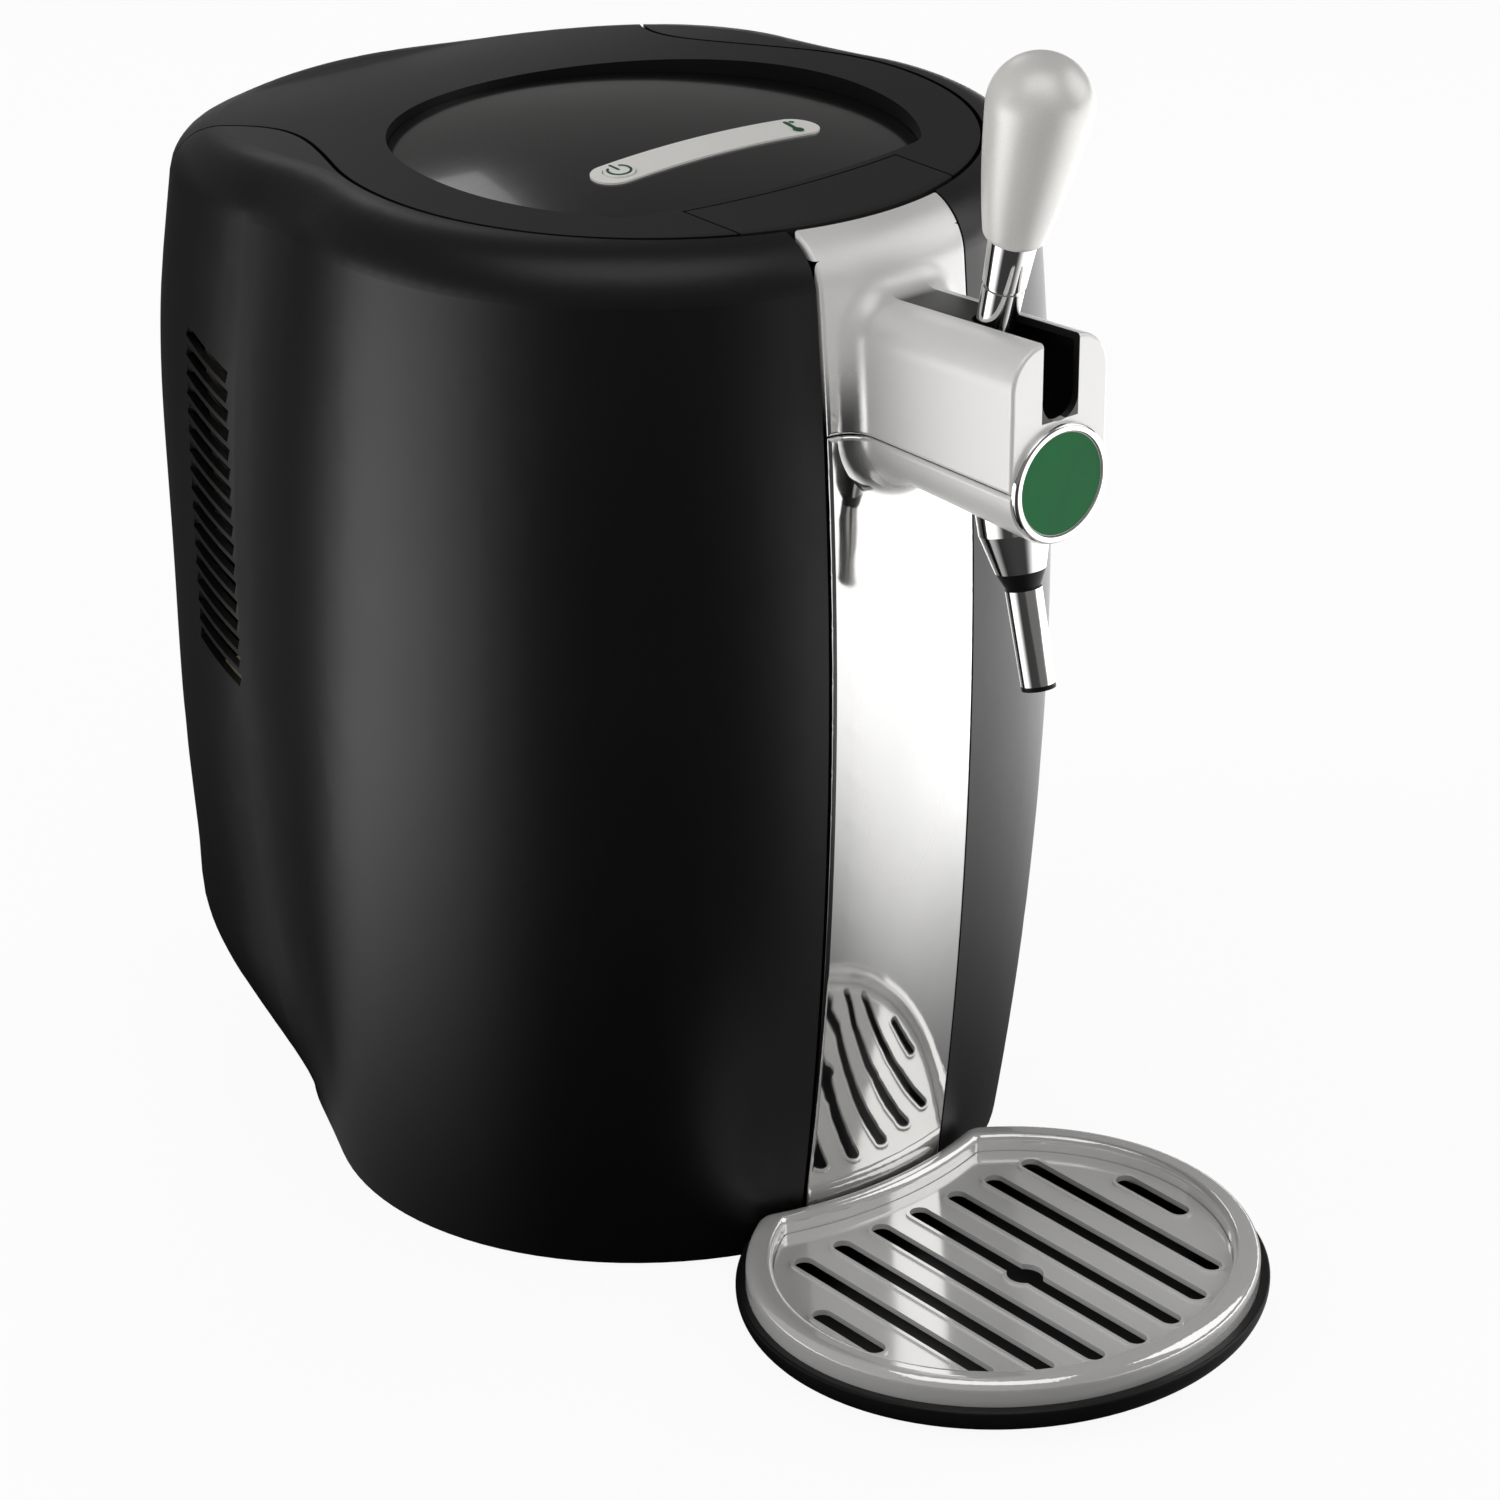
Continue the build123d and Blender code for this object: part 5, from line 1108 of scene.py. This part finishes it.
@dataclass(frozen=True)
class SoftBox:
    """A rectangular lamp of even brightness.

    Attributes:
        name: the lamp's name.
        place: its centre, in metres.
        size: its width and height.
        radiance: brightness of its face. The power is that times pi and the area.
        mirrored: whether it lights mirror-like surfaces alone, and not matt ones alone.
        target: where it points.
    """

    name: str
    place: Point
    size: Pair
    radiance: float
    mirrored: bool = False
    target: Point = (0.0, 0.0, 0.19)

    def build(self) -> None:
        """Adds the lamp to the scene."""
        data = bpy.data.lights.new(self.name, "AREA")
        data.shape = "RECTANGLE"
        width, height = self.size
        data.size, data.size_y = width, height
        data.energy = self.radiance * np.pi * width * height
        holder = bpy.data.objects.new(self.name, data)
        holder.location = self.place
        holder.visible_glossy = self.mirrored
        holder.visible_diffuse = not self.mirrored
        aim(holder, self.target)
        bpy.context.scene.collection.objects.link(holder)


@dataclass(frozen=True)
class Sector:
    """A part of the floor round the object that mirror-like surfaces see lit or unlit.

    Attributes:
        bearing: its middle, in degrees from the front towards -X.
        edge: cosine of the angle from the middle at which it ends.
        softness: how softly it ends, in the same cosine.
    """

    bearing: float
    edge: float
    softness: float

    def mask(self, across: Term, along: Term, reach: Term) -> Term:
        """Returns 1 in the sector and 0 outside it.

        The cosine of the angle between a point's direction and the sector's middle is their
        dot product over the point's distance.

        Args:
            across: the point's place along X.
            along: its place along Y.
            reach: its distance.

        Returns:
            The mask.
        """
        turn = np.radians(self.bearing)
        cosine = (across * float(-np.sin(turn)) + along * float(-np.cos(turn))) / reach
        return cosine.above(self.edge, self.softness)


@dataclass
class Studio:
    """Pale floor, white background, soft boxes and the camera.

    Attributes:
        eye: the camera's place, in metres.
        target: the point in the middle of its picture.
        lens: its focal length, in millimetres on a sensor of 36.
        floor_rings: radii of the floor's rings, in metres.
        least_reach: added to a floor point's distance, so that it is never 0.
        floor_tint: colour of the floor.
        floor_white: how far the camera sees the floor white in place of lit.
        sky_tint: colour of the background.
        fill_light: brightness of the background to matt surfaces.
        mirror_light: its brightness to mirror-like surfaces.
        left: floor sector on the left, with its brightness left_light.
        right: floor sector on the right, with its brightness right_light.
        rear: floor sector behind, which darkens the left one.
        floor_dim: brightness of the mirrored floor outside the sectors.
        near_edge: where the mirrored floor grows bright, and how softly.
        near_dim: share of its brightness inside that edge.
        boxes: the lamps.
    """

    eye: Point = (-1.0328, -1.2477, 0.9091)
    target: Point = (-0.02619, -0.04719, 0.18191)
    lens: float = 119.436
    floor_rings: tuple[float, ...] = (0.001, 0.5, 2.0, 9.0)
    least_reach: float = 0.001
    floor_tint: Colour = (0.86, 0.86, 0.85)
    floor_white: float = 0.93
    sky_tint: Colour = (1.0, 0.99, 0.975)
    fill_light: float = 0.42
    mirror_light: float = 0.17
    left: Sector = Sector(125.0, 0.8, 0.5)
    left_light: float = 2.1
    right: Sector = Sector(-80.0, 0.4, 0.8)
    right_light: float = 2.2
    rear: Sector = Sector(172.0, 0.8, 0.14)
    floor_dim: float = 0.05
    near_edge: Pair = (0.375, 0.55)
    near_dim: float = 0.05
    boxes: tuple[SoftBox, ...] = (
        SoftBox("left_box", (-1.35, 0.85, 0.55), (0.55, 1.3), 6.0),
        SoftBox("right_box", (1.6, -0.35, 0.5), (0.5, 1.1), 4.6),
        SoftBox("back_box", (0.75, 1.4, 1.45), (1.0, 0.6), 3.0),
        SoftBox("front_box", (-0.5, -2.0, 1.9), (1.6, 1.0), 2.2),
        SoftBox("dome_card", (0.71, 1.77, 1.47), (0.5, 0.5), 1.4, mirrored=True),
        SoftBox("rim_card", (-0.65, -0.8, 2.3), (2.2, 1.5), 1.0, mirrored=True),
        SoftBox("shoulder_card", (1.6, -0.95, 1.25), (1.5, 1.5), 1.2, mirrored=True),
    )

    def camera(self) -> None:
        """Sets up the camera."""
        data = bpy.data.cameras.new("camera")
        data.lens = self.lens
        data.sensor_width = 36.0
        data.clip_end = 50.0
        holder = bpy.data.objects.new("camera", data)
        holder.location = self.eye
        aim(holder, self.target)
        bpy.context.scene.collection.objects.link(holder)
        bpy.context.scene.camera = holder

    def world(self) -> None:
        """White to the camera, dim to mirror-like surfaces and an even grey to the rest."""
        made = bpy.data.worlds.new("studio")
        made.use_nodes = True
        graph = Graph(made.node_tree)
        fill, mirror, white = (
            graph.node("ShaderNodeBackground", None, {"Color": self.sky_tint, "Strength": strength})
            for strength in (self.fill_light, self.mirror_light, 1.0))
        lit = graph.either(fill.outputs[0], mirror.outputs[0], graph.rays("Is Glossy Ray"))
        seen = graph.either(lit, white.outputs[0], graph.rays("Is Camera Ray"))
        graph.node("ShaderNodeOutputWorld", None, {"Surface": seen})
        bpy.context.scene.world = made

    def mirrored_floor(self, graph: Graph) -> Term:
        """Returns how bright mirror-like surfaces see each point of the floor.

        The left and the right sector are lit, apart from what the rear one covers of the left.
        Close to the object the floor is dim.

        Args:
            graph: the floor's nodes.

        Returns:
            The brightness.
        """
        across, along, _ = graph.axes()
        reach = (across * across + along * along).root() + self.least_reach
        left, right, rear = (
            sector.mask(across, along, reach) for sector in (self.left, self.right, self.rear))
        total = left * (1 - rear) * self.left_light + right * self.right_light
        far = reach.above(*self.near_edge) * (1 - self.near_dim) + self.near_dim
        return (total + self.floor_dim) * far

    def floor_material(self) -> bpy.types.Material:
        """Builds the floor's material.

        The camera sees it mostly white with a faint shadow, mirror-like surfaces see its
        sectors, and all others see it matt.

        Returns:
            The material.
        """
        made = bpy.data.materials.new("floor")
        made.use_nodes = True
        graph = Graph(made.node_tree)
        matt = graph.node("ShaderNodeBsdfDiffuse", None, {"Color": self.floor_tint})
        white = graph.node("ShaderNodeEmission", None, {"Color": WHITE, "Strength": 1.0})
        lit = {"Color": self.mirrored_floor(graph), "Strength": 1.0}
        mirrored = graph.node("ShaderNodeEmission", None, lit)
        camera = graph.rays("Is Camera Ray") * self.floor_white
        shown = graph.either(matt.outputs[0], white.outputs[0], camera)
        seen = graph.either(shown, mirrored.outputs[0], graph.rays("Is Glossy Ray"))
        graph.node("ShaderNodeOutputMaterial", None, {"Surface": seen})
        return made

    def floor(self) -> None:
        """Lays a round floor.

        Its points lie on rings: the radius grows along one parameter, the angle along the other.
        """
        turn = np.linspace(0.0, 2 * np.pi, 64, endpoint=False)[:, None]
        radius = np.array(self.floor_rings)[None, :]
        x, y = radius * np.cos(turn), radius * np.sin(turn)
        piece = sheet_object("floor", np.stack([x, y, np.zeros_like(x)], axis=-1), True)
        piece.data.materials.append(self.floor_material())

    def build(self) -> None:
        """Sets up the whole studio."""
        self.camera()
        self.world()
        self.floor()
        for box in self.boxes:
            box.build()
        bpy.context.scene.view_settings.view_transform = "Standard"


def main() -> None:
    """Builds the studio and dresses the dispenser."""
    logging.basicConfig(level=logging.INFO, format="%(name)s: %(message)s")
    Studio().build()
    wardrobe = Wardrobe()
    wardrobe.dress_nodes(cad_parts)
    ControlStrip(wardrobe).build()


if __name__ == "__main__":
    main()
